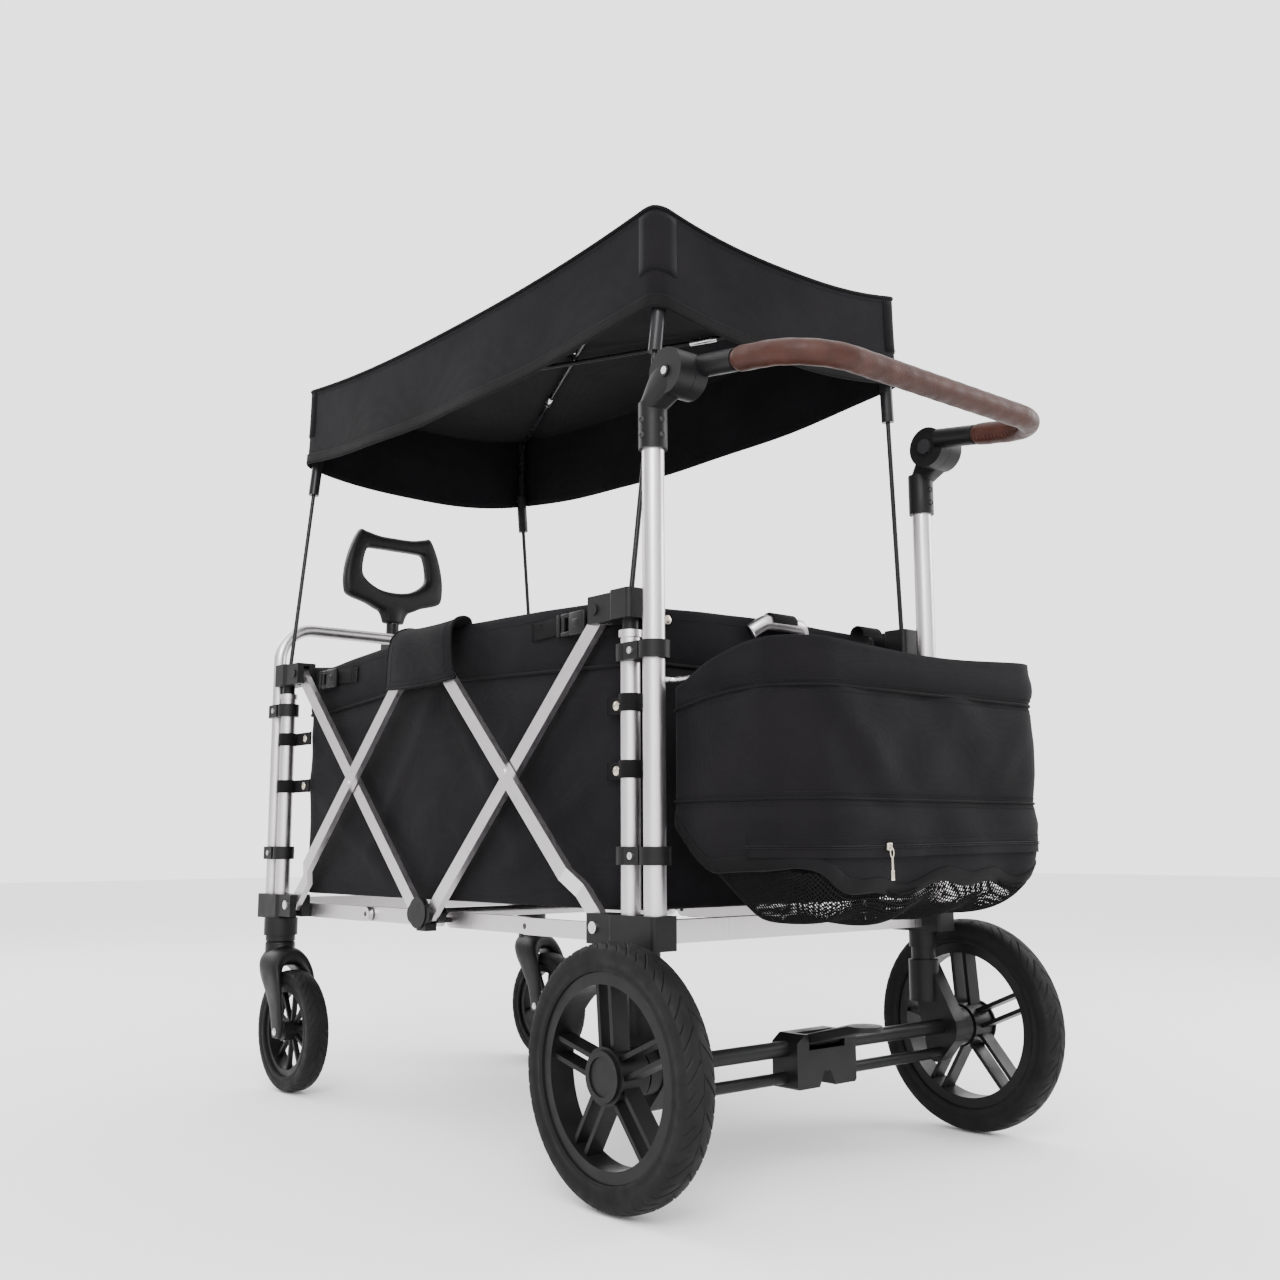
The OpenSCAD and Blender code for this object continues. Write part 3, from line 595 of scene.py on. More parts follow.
def caster_fork(word):
    """A hooded fork: one curved shell from axle to axle under a round collar."""
    low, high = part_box("caster_fork_" + word)
    x0, wheel = (low.x + high.x) / 2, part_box("front_tyre_" + word)
    axle_y, axle_z = (wheel[0].y + wheel[1].y) / 2, (wheel[0].z + wheel[1].z) / 2
    half = [(0.0285, -0.011, 0.000, 0.0140, 0.0042), (0.0288, 0.006, 0.000, 0.0175, 0.0048),
            (0.0288, 0.035, 0.006, 0.0200, 0.0056), (0.0300, 0.065, 0.016, 0.0270, 0.0066),
            (0.0300, 0.090, 0.028, 0.0340, 0.0085), (0.0235, 0.109, 0.040, 0.0360, 0.0125),
            (0.0115, 0.119, 0.045, 0.0365, 0.0160)]
    stations = half + [(0.0, 0.120, 0.046, 0.0365, 0.0165)] \
        + [(-x, *rest) for x, *rest in reversed(half)]
    line = smooth_line([(x, dy, dz) for x, dz, dy, _, _ in stations], 4)
    sizes = smooth_line([(w, t, 0) for _, _, _, w, t in stations], 4)
    rows = []
    for i, (centre, size) in enumerate(zip(line, sizes)):
        ahead = line[min(i + 1, len(line) - 1)] - line[max(i - 1, 0)]
        normal = Vector((ahead.z, 0, -ahead.x)).normalized()
        row = []
        for a in np.linspace(0, TAU, 24, endpoint=False):
            c, d = math.cos(a), math.sin(a)
            c, d = math.copysign(abs(c) ** 0.7, c), math.copysign(abs(d) ** 0.7, d)
            row.append(Vector((x0, axle_y, axle_z)) + centre + Vector((0, size.x * c, 0))
                       + normal * (size.y * d))
        rows.append(row)
    shell_piece = grid_object("f", rows, PLASTIC, closed_columns=True, caps=True)
    swivel = Vector((x0, high.y - 0.026, 0))
    collar = lathe("c", swivel, (0, 0, 1),
                   [(0.222, 0.018), (0.224, 0.0240), (0.230, 0.0255), (0.2435, 0.0255),
                    (0.2450, 0.0240), (0.2452, 0.0078), (high.z, 0.0076)], PLASTIC)
    fork = joined("fork_" + word, [shell_piece, collar])
    modifier(fork, "REMESH", mode="VOXEL", voxel_size=0.0018)
    modifier(fork, "SMOOTH", factor=0.5, iterations=5)
    bake_modifiers(fork)
    fork.data.materials.clear()
    fork.data.materials.append(PLASTIC)
    dress(fork, "caster_" + word, "black_plastic", "caster_fork_" + word)
    for way in (-1, 1):
        nut = lathe("fork_nut_%s_%d" % (word, way + 1), (x0 + way * 0.019, axle_y, axle_z),
                    (way, 0, 0), [(0, 0.0036), (0.0130, 0.0036), (0.0132, 0.0062),
                                  (0.0150, 0.0062), (0.0162, 0.0048), (0.0166, 0.0020)], STEEL)
        dress(nut, "caster_" + word, "steel")


# ---- tub ----

RIM = ([-0.369, -0.285, -0.07, 0.092, 0.296, 0.456, 0.553],
       [0.716, 0.727, 0.735, 0.739, 0.727, 0.715, 0.725])
BAND = ([-0.369, 0.057, 0.218, 0.315, 0.467, 0.553],
        [0.640, 0.657, 0.656, 0.648, 0.637, 0.640])
TUB_CORNER = 0.042


def side_share(x):
    """0 on the end walls, 1 on the side walls."""
    t = min(max((abs(x) - 0.19) / 0.05, 0), 1)
    return t * t * (3 - 2 * t)


def rim_height(x, y):
    k = side_share(x)
    return k * np.interp(y, *RIM) + (1 - k) * (0.715 + 0.004 * math.cos(9 * x))


def band_height(x, y):
    k = side_share(x)
    return k * np.interp(y, *BAND) + (1 - k) * 0.643


def tub_relief(x, y, z):
    """How far the stretched fabric stands out: pulled ridges from the corners, slack between."""
    if side_share(x) > 0.5:
        u, lines = y, (((-0.36, 0.69), (0.02, 0.37)), ((-0.34, 0.52), (-0.02, 0.34)),
                       ((0.54, 0.69), (0.16, 0.36)), ((0.53, 0.52), (0.2, 0.34)),
                       ((0.08, 0.65), (-0.12, 0.40)), ((0.1, 0.65), (0.3, 0.40)),
                       ((-0.36, 0.36), (0.5, 0.352)), ((-0.35, 0.60), (0.0, 0.62)),
                       ((0.53, 0.60), (0.2, 0.62)))
    else:
        u, lines = x, (((-0.24, 0.69), (0.0, 0.40)), ((0.24, 0.69), (0.02, 0.42)),
                       ((-0.23, 0.45), (0.22, 0.39)), ((-0.2, 0.62), (0.2, 0.615)))
    pulled = sum(ridge(u, z, a, b, 0.017) for a, b in lines)
    fade = min(max((z - TUB_LO.z) / 0.04, 0), 1)
    return fade * (0.0038 * min(pulled, 1.5) + 0.0016 * ripple(2.1 * x, 1.7 * y, 2.3 * z) - 0.001)


def tub_loop():
    return perimeter(TUB_HI.x - 0.001, TUB_LO.y + 0.001, TUB_HI.y - 0.001, TUB_CORNER)


def on_tub(x, y, nx, ny, z, out=0.0):
    d = tub_relief(x, y, z) + out
    return (x + nx * d, y + ny * d, z)


def shell(name, rows, material, thickness):
    """A thin shell whose rows run upwards round an object; thickness goes inwards."""
    obj = grid_object(name, [list(reversed(row)) for row in rows], material, closed_columns=True)
    return thick(obj, thickness)


def make_tub():
    loop = tub_loop()
    rows = []
    middle = (TUB_LO.y + TUB_HI.y) / 2
    for k in (0.02, 0.25, 0.5, 0.75, 0.9, 0.96, 0.985):
        rows.append([(x * k, middle + (y - middle) * k,
                      TUB_LO.z + 0.0005 + 0.001 * (1 - k)) for x, y, _, _ in loop])
    rows.append([(x - nx * 0.001, y - ny * 0.001, TUB_LO.z + 0.003) for x, y, nx, ny in loop])
    for t in np.linspace(0, 1, 40):
        rows.append([on_tub(x, y, nx, ny, TUB_LO.z + 0.008
                            + t * (rim_height(x, y) - 0.004 - TUB_LO.z - 0.008))
                     for x, y, nx, ny in loop])
    tub = shell("tub_fabric", rows, FABRIC, 0.003)
    band = []
    for share, out in ((0, 0.0005), (0.03, 0.0024), (0.5, 0.0028), (0.93, 0.0024)):
        band.append([on_tub(x, y, nx, ny, band_height(x, y) * (1 - share)
                            + rim_height(x, y) * share, out) for x, y, nx, ny in loop])
    for out, rise in ((0.0012, -0.001), (-0.0012, 0.0018), (-0.0042, 0.0014), (-0.0062, -0.003),
                      (-0.0068, -0.026)):
        band.append([on_tub(x, y, nx, ny, rim_height(x, y) + rise, out) for x, y, nx, ny in loop])
    hem = shell("tub_hem", band, FABRIC, 0.0018)
    pipe_line = [on_tub(x, y, nx, ny, band_height(x, y) - 0.001, 0.002) for x, y, nx, ny in loop]
    piping = tube("tub_piping", pipe_line, 0.0026, WEBBING, 8, closed=True)
    rows_of_thread = []
    for k, (height, out) in enumerate(((lambda x, y: band_height(x, y) + 0.008, 0.0031),
                                       (lambda x, y: rim_height(x, y) - 0.012, 0.0028))):
        line = [on_tub(x, y, nx, ny, height(x, y), out) for x, y, nx, ny in loop]
        rows_of_thread.append(stitches("tub_thread_%d" % k, line + line[:1], 0.0042, 0.00045))
    mat = tub_floor()
    extras = [hem, piping, *rows_of_thread]
    for piece in (tub, mat, *extras):
        dress(piece, "root", "fabric")
    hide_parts("tub")
    straps = tub_straps()
    for piece in (tub, mat, *extras, *straps):
        fold_tub(piece)


def tub_floor():
    """The padded floor mat: three sewn panels, swollen between the seams."""
    rows = []
    xs, ys = np.linspace(-1, 1, 41), np.linspace(-1, 1, 81)
    half_x, y0, y1, base = 0.240, TUB_LO.y + 0.008, TUB_HI.y - 0.008, TUB_LO.z + 0.0045
    for v in ys:
        row = []
        for u in xs:
            y = (y0 + y1) / 2 + v * (y1 - y0) / 2
            panel = abs(math.cos(1.5 * math.pi * v)) ** 0.5 * (1 - abs(u) ** 8) ** 0.5
            row.append((u * half_x, y, base + 0.003 + 0.0062 * panel
                        + 0.0004 * ripple(3 * u, 5 * v, 1.0)))
        rows.append(row)
    lower = [[(x, y, base) for x, y, _ in row] for row in rows]
    under = strip_faces(81, 41)
    count = 81 * 41
    top = [tuple(reversed(face)) for face in under]
    rim = ([j for j in range(41)] + [i * 41 + 40 for i in range(1, 81)]
           + [80 * 41 + j for j in range(39, -1, -1)] + [i * 41 for i in range(79, 0, -1)])
    sides = [(a, b, b + count, a + count) for a, b in zip(rim, rim[1:] + rim[:1])]
    return mesh_object("tub_floor_mat", [p for r in rows + lower for p in r],
                       top + [tuple(i + count for i in face) for face in under] + sides, LINING)


def buckle(name, side, y, z):
    """A side-release buckle lying on the band, with its strap along y."""
    x = side * 0.2575
    pieces = [rounded_box("b", (x - 0.0035, y - 0.028, z - 0.0165),
                          (x + 0.0035, y + 0.006, z + 0.0165), PLASTIC, 0.003)]
    for dz in (-0.0125, 0.0125):
        pieces.append(rounded_box("b", (x - 0.0032, y + 0.004, z + dz - 0.0035),
                                  (x + 0.0032, y + 0.024, z + dz + 0.0035), PLASTIC, 0.0025))
    for dy in (0.019, 0.030):
        pieces.append(rounded_box("b", (x - 0.003, y + dy - 0.003, z - 0.016),
                                  (x + 0.003, y + dy + 0.003, z + 0.016), PLASTIC, 0.0022))
    pieces.append(rounded_box("b", (x + side * 0.001 - 0.0034, y - 0.019, z - 0.007),
                              (x + side * 0.001 + 0.0034, y - 0.003, z + 0.007), PLASTIC, 0.003))
    return dress(joined(name, pieces), "root", "black_plastic")


def band_strap(name, side, y0, y1, z, lift):
    """Webbing along the band; it rises over the buckle in its middle."""
    path = []
    for t in np.linspace(0, 1, 25):
        y = y0 + t * (y1 - y0)
        out = 0.0048 + lift * math.exp(-((t - 0.5) / 0.16) ** 2)
        path.append(on_tub(side * (TUB_HI.x - 0.001), y, side, 0, z + 0.002 * math.sin(3 * t), out))
    return dress(ribbon(name, path, (side, 0, 0), 0.025, 0.0016, WEBBING), "root", "fabric")


def tub_straps():
    """Straps and buckles on the band, and a hanging loop on the rear wall."""
    made = []
    for side, word in ((-1, "left"), (1, "right")):
        made.append(band_strap("strap_rear_" + word, side, -0.316, -0.150, 0.704, 0))
        made.append(band_strap("strap_front_" + word, side, 0.350, 0.500, 0.694, 0))
        made.append(buckle("buckle_rear_" + word, side, -0.250, 0.704))
        made.append(buckle("buckle_front_" + word, side, 0.440, 0.694))
        for end, y, z in (("rear", -0.165, 0.704), ("front", 0.362, 0.694)):
            box = [on_tub(side * (TUB_HI.x - 0.001), y + dy, side, 0, z + dz, 0.0060)
                   for dy, dz in ((-0.009, -0.010), (0.009, -0.010), (0.009, 0.010),
                                  (-0.009, 0.010), (-0.009, -0.010), (0.009, 0.010),
                                  (0.009, -0.010), (-0.009, 0.010))]
            made.append(dress(stitches("box_stitch_%s_%s" % (end, word), box, 0.0032, 0.0004),
                              "root", "fabric"))
    y, z = TUB_LO.y - 0.0125, 0.714
    ends = [(-0.040, y + 0.012, z - 0.014), (-0.026, y + 0.003, z - 0.003), (-0.014, y, z),
            (0.038, y, z), (0.050, y + 0.003, z - 0.003), (0.064, y + 0.012, z - 0.014)]
    made.append(dress(tube("rear_wall_tube", smooth_line(ends, 5), 0.0105, TUBE, 20),
                      "root", "tube"))
    for k, (x, wide) in enumerate(((0.006, 0.046), (0.190, 0.042))):
        loop = [(x, y + 0.0130 * math.cos(a), z + 0.0130 * math.sin(a))
                for a in np.radians(np.linspace(-50, 190, 25))]
        made.append(dress(ribbon("rear_wall_loop_%d" % k, loop,
                                 lambda t: Vector((0, math.cos(math.radians(-50 + 240 * t)),
                                                   math.sin(math.radians(-50 + 240 * t)))),
                                 wide, 0.0018, WEBBING), "root", "fabric"))
    made.append(dress(lathe("rear_wall_snap", (-0.196, TUB_LO.y - 0.003, 0.700), (0, -1, 0),
                            SNAP, BRASS), "root", "steel"))
    return made


def make_flap(side, word):
    """The stiff fabric cover over one upper middle pivot; it rides with the pivot."""
    profile = [(0.2445, 0.731), (0.246, 0.738), (0.251, 0.7425), (0.262, 0.7445), (0.275, 0.742),
               (0.286, 0.735), (0.2925, 0.724), (0.2950, 0.705), (0.2955, 0.683), (0.2945, 0.662),
               (0.2930, 0.652)]
    rows = []
    for k, (out, z) in enumerate(profile):
        t = k / (len(profile) - 1)
        half = 0.070 + 0.030 * t ** 1.2
        row = []
        for u in np.linspace(-1, 1, 25):
            sag = 0.004 * (1 - u * u) * t - 0.0035 * abs(u) ** 3 * (1 - t)
            bow = 0.0015 * math.sin(5 * u + 7 * t) * t - 0.004 * abs(u) ** 6 * t
            row.append((side * (out + bow), MID_Y - 0.004 + u * half, z - sag))
        rows.append(row if side < 0 else list(reversed(row)))
    flap = grid_object("pivot_flap_" + word, rows, FABRIC)
    flap = thick(flap, 0.0022, 0.0, 1)
    edge = [rows[i][0] for i in range(len(rows))] + rows[-1][1:-1] \
        + [rows[i][-1] for i in range(len(rows) - 1, -1, -1)]
    binding = tube("flap_binding_" + word, smooth_line(edge, 3), 0.0021, WEBBING, 8)
    out = Vector((side * 0.0013, 0, 0))
    inner = [[Vector(p) + out for p in row] for row in rows]
    line = [row[2] for row in inner[3:-1]] + inner[-2][3:-3] \
        + [row[-3] for row in reversed(inner[3:-1])]
    thread = stitches("flap_thread_" + word, line, 0.0042, 0.00045)
    for piece in (flap, binding, thread):
        dress(piece, "centre_top", "fabric")


def smooth_line(points, steps, closed=False):
    """A Catmull-Rom line through points, with steps parts to each gap."""
    points = [Vector(p) for p in points]
    count = len(points)
    found = []
    for i in range(count if closed else count - 1):
        p1, p2 = points[i], points[(i + 1) % count]
        p0 = points[i - 1] if closed or i > 0 else p1
        p3 = points[(i + 2) % count] if closed or i + 2 < count else p2
        for k in range(steps):
            t = k / steps
            found.append(0.5 * (2 * p1 + (p2 - p0) * t + (2 * p0 - 5 * p1 + 4 * p2 - p3) * t * t
                                + (3 * p1 - p0 - 3 * p2 + p3) * t ** 3))
    return found if closed else found + [points[-1]]


SNAP = [(0, 0.0066), (0.0012, 0.0066), (0.0022, 0.0058), (0.0024, 0.0044), (0.0032, 0.0030),
        (0.0036, 0.0012)]


def post_loop(name, side, post, z, toward, body):
    """A webbing loop round a corner post, with its tail snapped to the tub wall."""
    radius = 0.0141
    cx, cy = side * post[0], post[1]
    path = [(side * (post[0] - radius), cy + toward * d, z) for d in (0.062, 0.045, 0.030, 0.015)]
    normals = [Vector((-side, 0, 0))] * 4
    for a in np.linspace(0, TAU * 0.97, 26):
        nx, ny = -side * math.cos(a), -toward * math.sin(a)
        path.append((cx + radius * nx, cy + radius * ny, z))
        normals.append(Vector((nx, ny, 0)))
    band = ribbon(name, path, lambda t: normals[min(round(t * (len(normals) - 1)), len(normals) - 1)],
                  0.022, 0.0018, WEBBING)
    dress(band, body, "fabric")
    snap = lathe(name + "_snap", (side * (post[0] - radius + 0.0008), cy + toward * 0.043, z),
                 (side, 0, 0), SNAP, BRASS)
    dress(snap, body, "steel")


def make_post_loops():
    for side, word in ((-1, "left"), (1, "right")):
        for z, k in ((0.596, "upper"), (0.513, "lower")):
            post_loop("front_loop_%s_%s" % (k, word), side, (0.269, 0.569), z, -1, "front_frame")
            post_loop("rear_loop_%s_%s" % (k, word), side, (0.269, -0.385), z - 0.01, 1, "root")


# ---- canopy ----

def roof_edge(x, y):
    """Height of the roof on its outline: high at the corners, slack between."""
    middle = (ROOF_LO.y + ROOF_HI.y) / 2
    u = abs(x) / ROOF_HI.x
    v = abs(y - middle) / ((ROOF_HI.y - ROOF_LO.y) / 2)
    nearest = min(u, v)
    return 1.2225 + 0.0265 * nearest ** 2.4


def roof_height(x, y):
    """Height of the roof inside its outline: taut over the crossed rods, slack between them."""
    middle = (ROOF_LO.y + ROOF_HI.y) / 2
    u = abs(x) / ROOF_HI.x
    v = abs(y - middle) / ((ROOF_HI.y - ROOF_LO.y) / 2)
    r = min(max(u, v), 1)
    over = (min(u, v) / r) ** 2.0 if r > 1e-6 else 1.0
    return (1.2405 + 0.008 * r ** 4) * over + (1 - over) * (1.2405 - 0.018 * r ** 1.5) \
        + 0.0008 * ripple(1.5 * x, 1.2 * y, 0.3) * (1 - r ** 4)


def valance_point(x, y, nx, ny, t, out=0.0):
    """A point on the hanging edge: t runs from 0 at the top to 1 at the hem."""
    wave = 0.0022 * math.sin(21 * (x + y)) * t + 0.0035 * t * t
    z = roof_edge(x, y) - 0.004 - t * (ROOF_HI.z - ROOF_LO.z - 0.004)
    d = wave + out
    return (x + nx * d, y + ny * d, z)


def make_canopy():
    loop = perimeter(ROOF_HI.x - 0.003, ROOF_LO.y + 0.003, ROOF_HI.y - 0.003, 0.022)
    middle = (ROOF_LO.y + ROOF_HI.y) / 2
    rows = []
    for t in np.linspace(1, 0, 16):
        rows.append([valance_point(x, y, nx, ny, t) for x, y, nx, ny in loop])
    rows.append([(x - nx * 0.0006, y - ny * 0.0006, roof_edge(x, y) - 0.0012)
                 for x, y, nx, ny in loop])
    rows.append([(x - nx * 0.003, y - ny * 0.003, roof_edge(x, y)) for x, y, nx, ny in loop])
    for k in np.linspace(0.965, 0.01, 26):
        row = []
        for x, y, _, _ in loop:
            px, py = x * k, middle + (y - middle) * k
            blend = min((1 - k) / 0.12, 1)
            row.append((px, py, roof_height(px, py) * blend + roof_edge(x, y) * (1 - blend)))
        rows.append(row)
    canopy = shell("canopy_fabric", rows, FABRIC, 0.002)
    pipe = [(x + nx * 0.0012, y + ny * 0.0012, roof_edge(x, y) - 0.002) for x, y, nx, ny in loop]
    piping = tube("canopy_piping", pipe, 0.0023, WEBBING, 8, closed=True)
    hem_rows = [[valance_point(x, y, nx, ny, t, out) for x, y, nx, ny in loop]
                for t, out in ((1.012, 0.0), (1.01, 0.0018), (0.99, 0.0024), (0.90, 0.0024),
                               (0.872, 0.0018), (0.868, 0.0002))]
    hem = shell("canopy_hem", hem_rows, WEBBING, 0.0012)
    threads = []
    for k, (t, out) in enumerate(((0.885, 0.0027), (0.045, 0.0006), (0.985, 0.0027))):
        line = [valance_point(x, y, nx, ny, t, out) for x, y, nx, ny in loop]
        threads.append(stitches("canopy_thread_%d" % k, line + line[:1], 0.0042, 0.00045))
    patches = [corner_patch(k, loop) for k in range(4)]
    extras = [piping, hem, *threads, *patches]
    rods = roof_rods()
    for piece in (canopy, *extras):
        dress(piece, "rear_top", "fabric")
    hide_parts("canopy")
    dress(rods, "rear_top", "pole", "roof_rods")
    for piece in (canopy, rods, *extras):
        fold_roof(piece)


def corner_patch(k, loop):
    """A doubled strip of fabric down the outside of one corner, with its stitching."""
    corner = [(1, -1), (1, 1), (-1, 1), (-1, -1)][k]
    middle = (ROOF_LO.y + ROOF_HI.y) / 2
    near = [p for p in loop if p[0] * corner[0] > 0 and (p[1] - middle) * corner[1] > 0
            and abs(p[0]) > ROOF_HI.x - 0.046
            and abs(p[1] - middle) > (ROOF_HI.y - ROOF_LO.y) / 2 - 0.046]
    near.sort(key=lambda p: math.atan2((p[1] - middle) * corner[1] - 0.45, abs(p[0]) - 0.20))
    rows = [[valance_point(x, y, nx, ny, t, 0.0010) for x, y, nx, ny in near]
            for t in np.linspace(0.63, 0.03, 10)]
    flip = corner[0] * corner[1] > 0
    patch = grid_object("patch", [list(reversed(r)) if flip else r for r in rows], FABRIC)
    patch = thick(patch, 0.0011, 0.0)
    first, last = near[1], near[-2]
    lines = []
    for p in (first, last):
        lines.append(stitches("patch_thread", [valance_point(*p, t, 0.0027)
                                               for t in np.linspace(0.61, 0.05, 12)],
                              0.0042, 0.00045))
    lines.append(stitches("patch_thread", [valance_point(*p, 0.605, 0.0027) for p in near[1:-1]],
                          0.0042, 0.00045))
    return joined("canopy_patch_%d" % k, [patch, *lines])


def roof_rods():
    """Two thin rods from corner to corner, one over the other, with joining sleeves."""
    low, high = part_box("roof_rods")
    middle = (low.y + high.y) / 2
    pieces = []
    for slope, bow in ((1, 0.0032), (-1, -0.0050)):
        def at(t, slope=slope, bow=bow):
            return Vector((t * (high.x - 0.004), middle + slope * t * (high.y - middle - 0.004),
                           1.2285 + bow * (1 - abs(t) ** 1.5)))
        pieces.append(tube("rod", [at(t) for t in np.linspace(-1, 1, 41)], 0.0038, FIBRE, 12))
        for centre in (-0.45, 0.45):
            line = [at(centre + d) for d in (-0.045, -0.044, 0.044, 0.045)]
            pieces.append(tube("sleeve", line, lambda t: 0.0046 if t in (0, 1) else 0.0053,
                               STEEL, 16))
    return joined("roof_rod_set", pieces)


# ---- rear bag ----

BAG_X, BAG_REAR, BAG_FRONT, BAG_CORNER = BAG_HI.x + 0.015, BAG_LO.y - 0.007, -0.433, 0.058


def bag_back(y):
    """0 at the bag's front edge, 1 behind: the top edge rises steeply, then levels out."""
    return math.sin(math.pi / 2 * min(max((BAG_FRONT - y) / 0.17, 0), 1))


def bag_out(x, y, z):
    """How far the bag's wall stands out: over the frame tube at the top, slack below."""
    t = min(max((-0.455 - y) / 0.06, 0), 1)
    behind = t * t * (3 - 2 * t)
    sleeve = np.interp(z, [0.590, 0.597, 0.604, 0.612, 0.622, 0.634, 0.650],
                       [0.0, 0.0030, 0.0065, 0.0080, 0.0070, 0.0040, 0.0030])
    puff = np.interp(z, [0.33, 0.36, 0.385, 0.409, 0.436, 0.462, 0.50, 0.54, 0.58, 0.592],
                     [-0.022, -0.012, -0.001, 0.004, 0.0065, 0.001, 0.0050, 0.0062, 0.0032, 0])
    wide = 1 - min(abs(x) / BAG_HI.x, 1) ** 4
    folds = 0.0026 * ripple(1.9 * x, 1.5 * y, 1.5 * z) * (0.25 + 0.75 * behind)
    drag = 0.0042 * sum(ridge(x, z, a, b, 0.021) for a, b in (
        ((-0.19, 0.58), (-0.08, 0.47)), ((0.20, 0.58), (0.12, 0.49)),
        ((-0.16, 0.45), (-0.03, 0.40)), ((0.19, 0.455), (0.05, 0.405)))) \
        * min(max((-0.585 - y) / 0.03, 0), 1)
    return behind * (sleeve + puff + 0.004 * wide * (y < -0.55)) + folds * (z < 0.59) + drag


def bag_top(x, y):
    back = bag_back(y)
    return 0.598 + 0.049 * back - 0.009 * back * (1 - min(abs(x) / BAG_HI.x, 1) ** 2) ** 2


def bag_low(x, y):
    edge = min(abs(x) / BAG_HI.x, 1) ** 3
    front = min(max((y + 0.505) / 0.07, 0), 1) ** 1.3
    wave = 0.008 * math.sin(22 * x + 9 * y) + 0.005 * math.sin(57 * x + 1.2)
    return 0.357 + 0.018 * edge * (1 - front) + 0.080 * front + wave * (1 - front)


def on_bag(x, y, nx, ny, z, out=0.0):
    d = bag_out(x, y, z) + out
    return (x + nx * d, y + ny * d, z)


def seam_z(height, y):
    """The upper seam drops with the top edge towards the wagon."""
    return height - max(height - 0.55, 0) * 0.45 * (1 - bag_back(y))


def make_bag():
    loop = perimeter(BAG_X, BAG_REAR, BAG_FRONT, BAG_CORNER, 0.012, 0.009)
    rows = []
    for t in np.linspace(0, 1, 46):
        rows.append([on_bag(x, y, nx, ny, bag_low(x, y) * (1 - t) + bag_top(x, y) * t)
                     for x, y, nx, ny in loop])
    rows.append([on_bag(x, y, nx, ny, bag_top(x, y) + 0.0008, -0.003) for x, y, nx, ny in loop])
    rows.append([on_bag(x, y, nx, ny, bag_top(x, y) - 0.012, -0.0055) for x, y, nx, ny in loop])
    bag = shell("bag_fabric", rows, FABRIC, 0.0022)
    net = bag_net()
    extras = []
    for k, (height, out, radius) in enumerate(((0.591, 0.0012, 0.0019), (0.462, 0.001, 0.0017))):
        line = [on_bag(x, y, nx, ny, seam_z(height, y), out) for x, y, nx, ny in loop]
        extras.append(tube("bag_seam_%d" % k, line, radius, WEBBING, 8, closed=True))
        for side, offset in ((0, -0.007), (1, 0.007)):
            line = [on_bag(x, y, nx, ny, seam_z(height, y) + offset, 0.0006)
                    for x, y, nx, ny in loop]
            extras.append(stitches("bag_thread_%d_%d" % (k, side), line + line[:1], 0.0042,
                                   0.00045))
    hem = [[on_bag(x, y, nx, ny, bag_low(x, y) + dz, out) for x, y, nx, ny in loop]
           for dz, out in ((-0.002, 0.0002), (0.0, 0.0018), (0.014, 0.0018), (0.016, 0.0004))]
    extras.append(shell("bag_hem", hem, WEBBING, 0.0012))
    extras += zipper(loop)
    for piece in (bag, net, *extras):
        dress(piece, "root", "fabric")
    dress(bag_hoop(), "root", "steel", "bag_frame")
    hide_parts("rear_bag")


def bag_hoop():
    """The thin steel hoop in the bag's top sleeve, hooked to the two push handle tubes."""
    low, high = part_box("bag_frame")
    z, x, rear, bend = (low.z + high.z) / 2, BAG_X - 0.003, BAG_REAR + 0.0005, BAG_CORNER
    right = [(high.x, high.y - 0.003, z), (high.x, high.y - 0.008, z), (x, BAG_FRONT - 0.008, z),
             (x, -0.500, z)]
    right += [(x - bend + bend * math.cos(a), rear + bend - bend * math.sin(a), z)
              for a in np.linspace(0, math.pi / 2, 12)]
    left = [(-px, py, pz) for px, py, pz in reversed(right)]
    return tube("bag_hoop", smooth_line(right + left, 2), 0.0036, STEEL, 12)


def bag_net():
    """The open net under the bag: crossing threads that sag in the middle."""
    half_x, y0, y1, bend = BAG_X - 0.010, BAG_REAR + 0.008, BAG_FRONT - 0.006, BAG_CORNER - 0.008
    pitch, thread = 0.0042, 0.0008
    middle, half_y = (y0 + y1) / 2, (y1 - y0) / 2
    pieces = []

    def reach(x):
        """The rear end of the net at x, inside the round corners."""
        over = max(abs(x) - (half_x - bend), 0)
        return y0 + bend - math.sqrt(max(bend ** 2 - over ** 2, 0))

    def at(x, y):
        u, v = x / half_x, (y - middle) / half_y
        sag = max((1 - abs(u) ** 2.5) * (1 - abs(v) ** 2.5), 0)
        return (x, y, bag_low(x, y) + 0.004 - 0.046 * sag ** 0.55)
    for x in np.arange(-half_x, half_x + 1e-6, pitch):
        pieces.append([at(x, y) for y in np.linspace(reach(x), y1, 23)])
    for y in np.arange(y0, y1 + 1e-6, pitch):
        xs = [x for x in np.arange(-half_x, half_x + 1e-6, 0.007) if reach(x) <= y + 0.001]
        pieces.append([at(x, y) for x in xs])
    points, faces = [], []
    for path in pieces:
        placed = frames_along(path)
        start = len(points)
        for centre, side, up in placed:
            points += [centre + side * thread, centre + up * thread,
                       centre - side * thread, centre - up * thread]
        for i in range(len(placed) - 1):
            for k in range(4):
                a, b = start + 4 * i + k, start + 4 * i + (k + 1) % 4
                faces.append((a, b, b + 4, a + 4))
    return mesh_object("bag_net", points, faces, MESH)


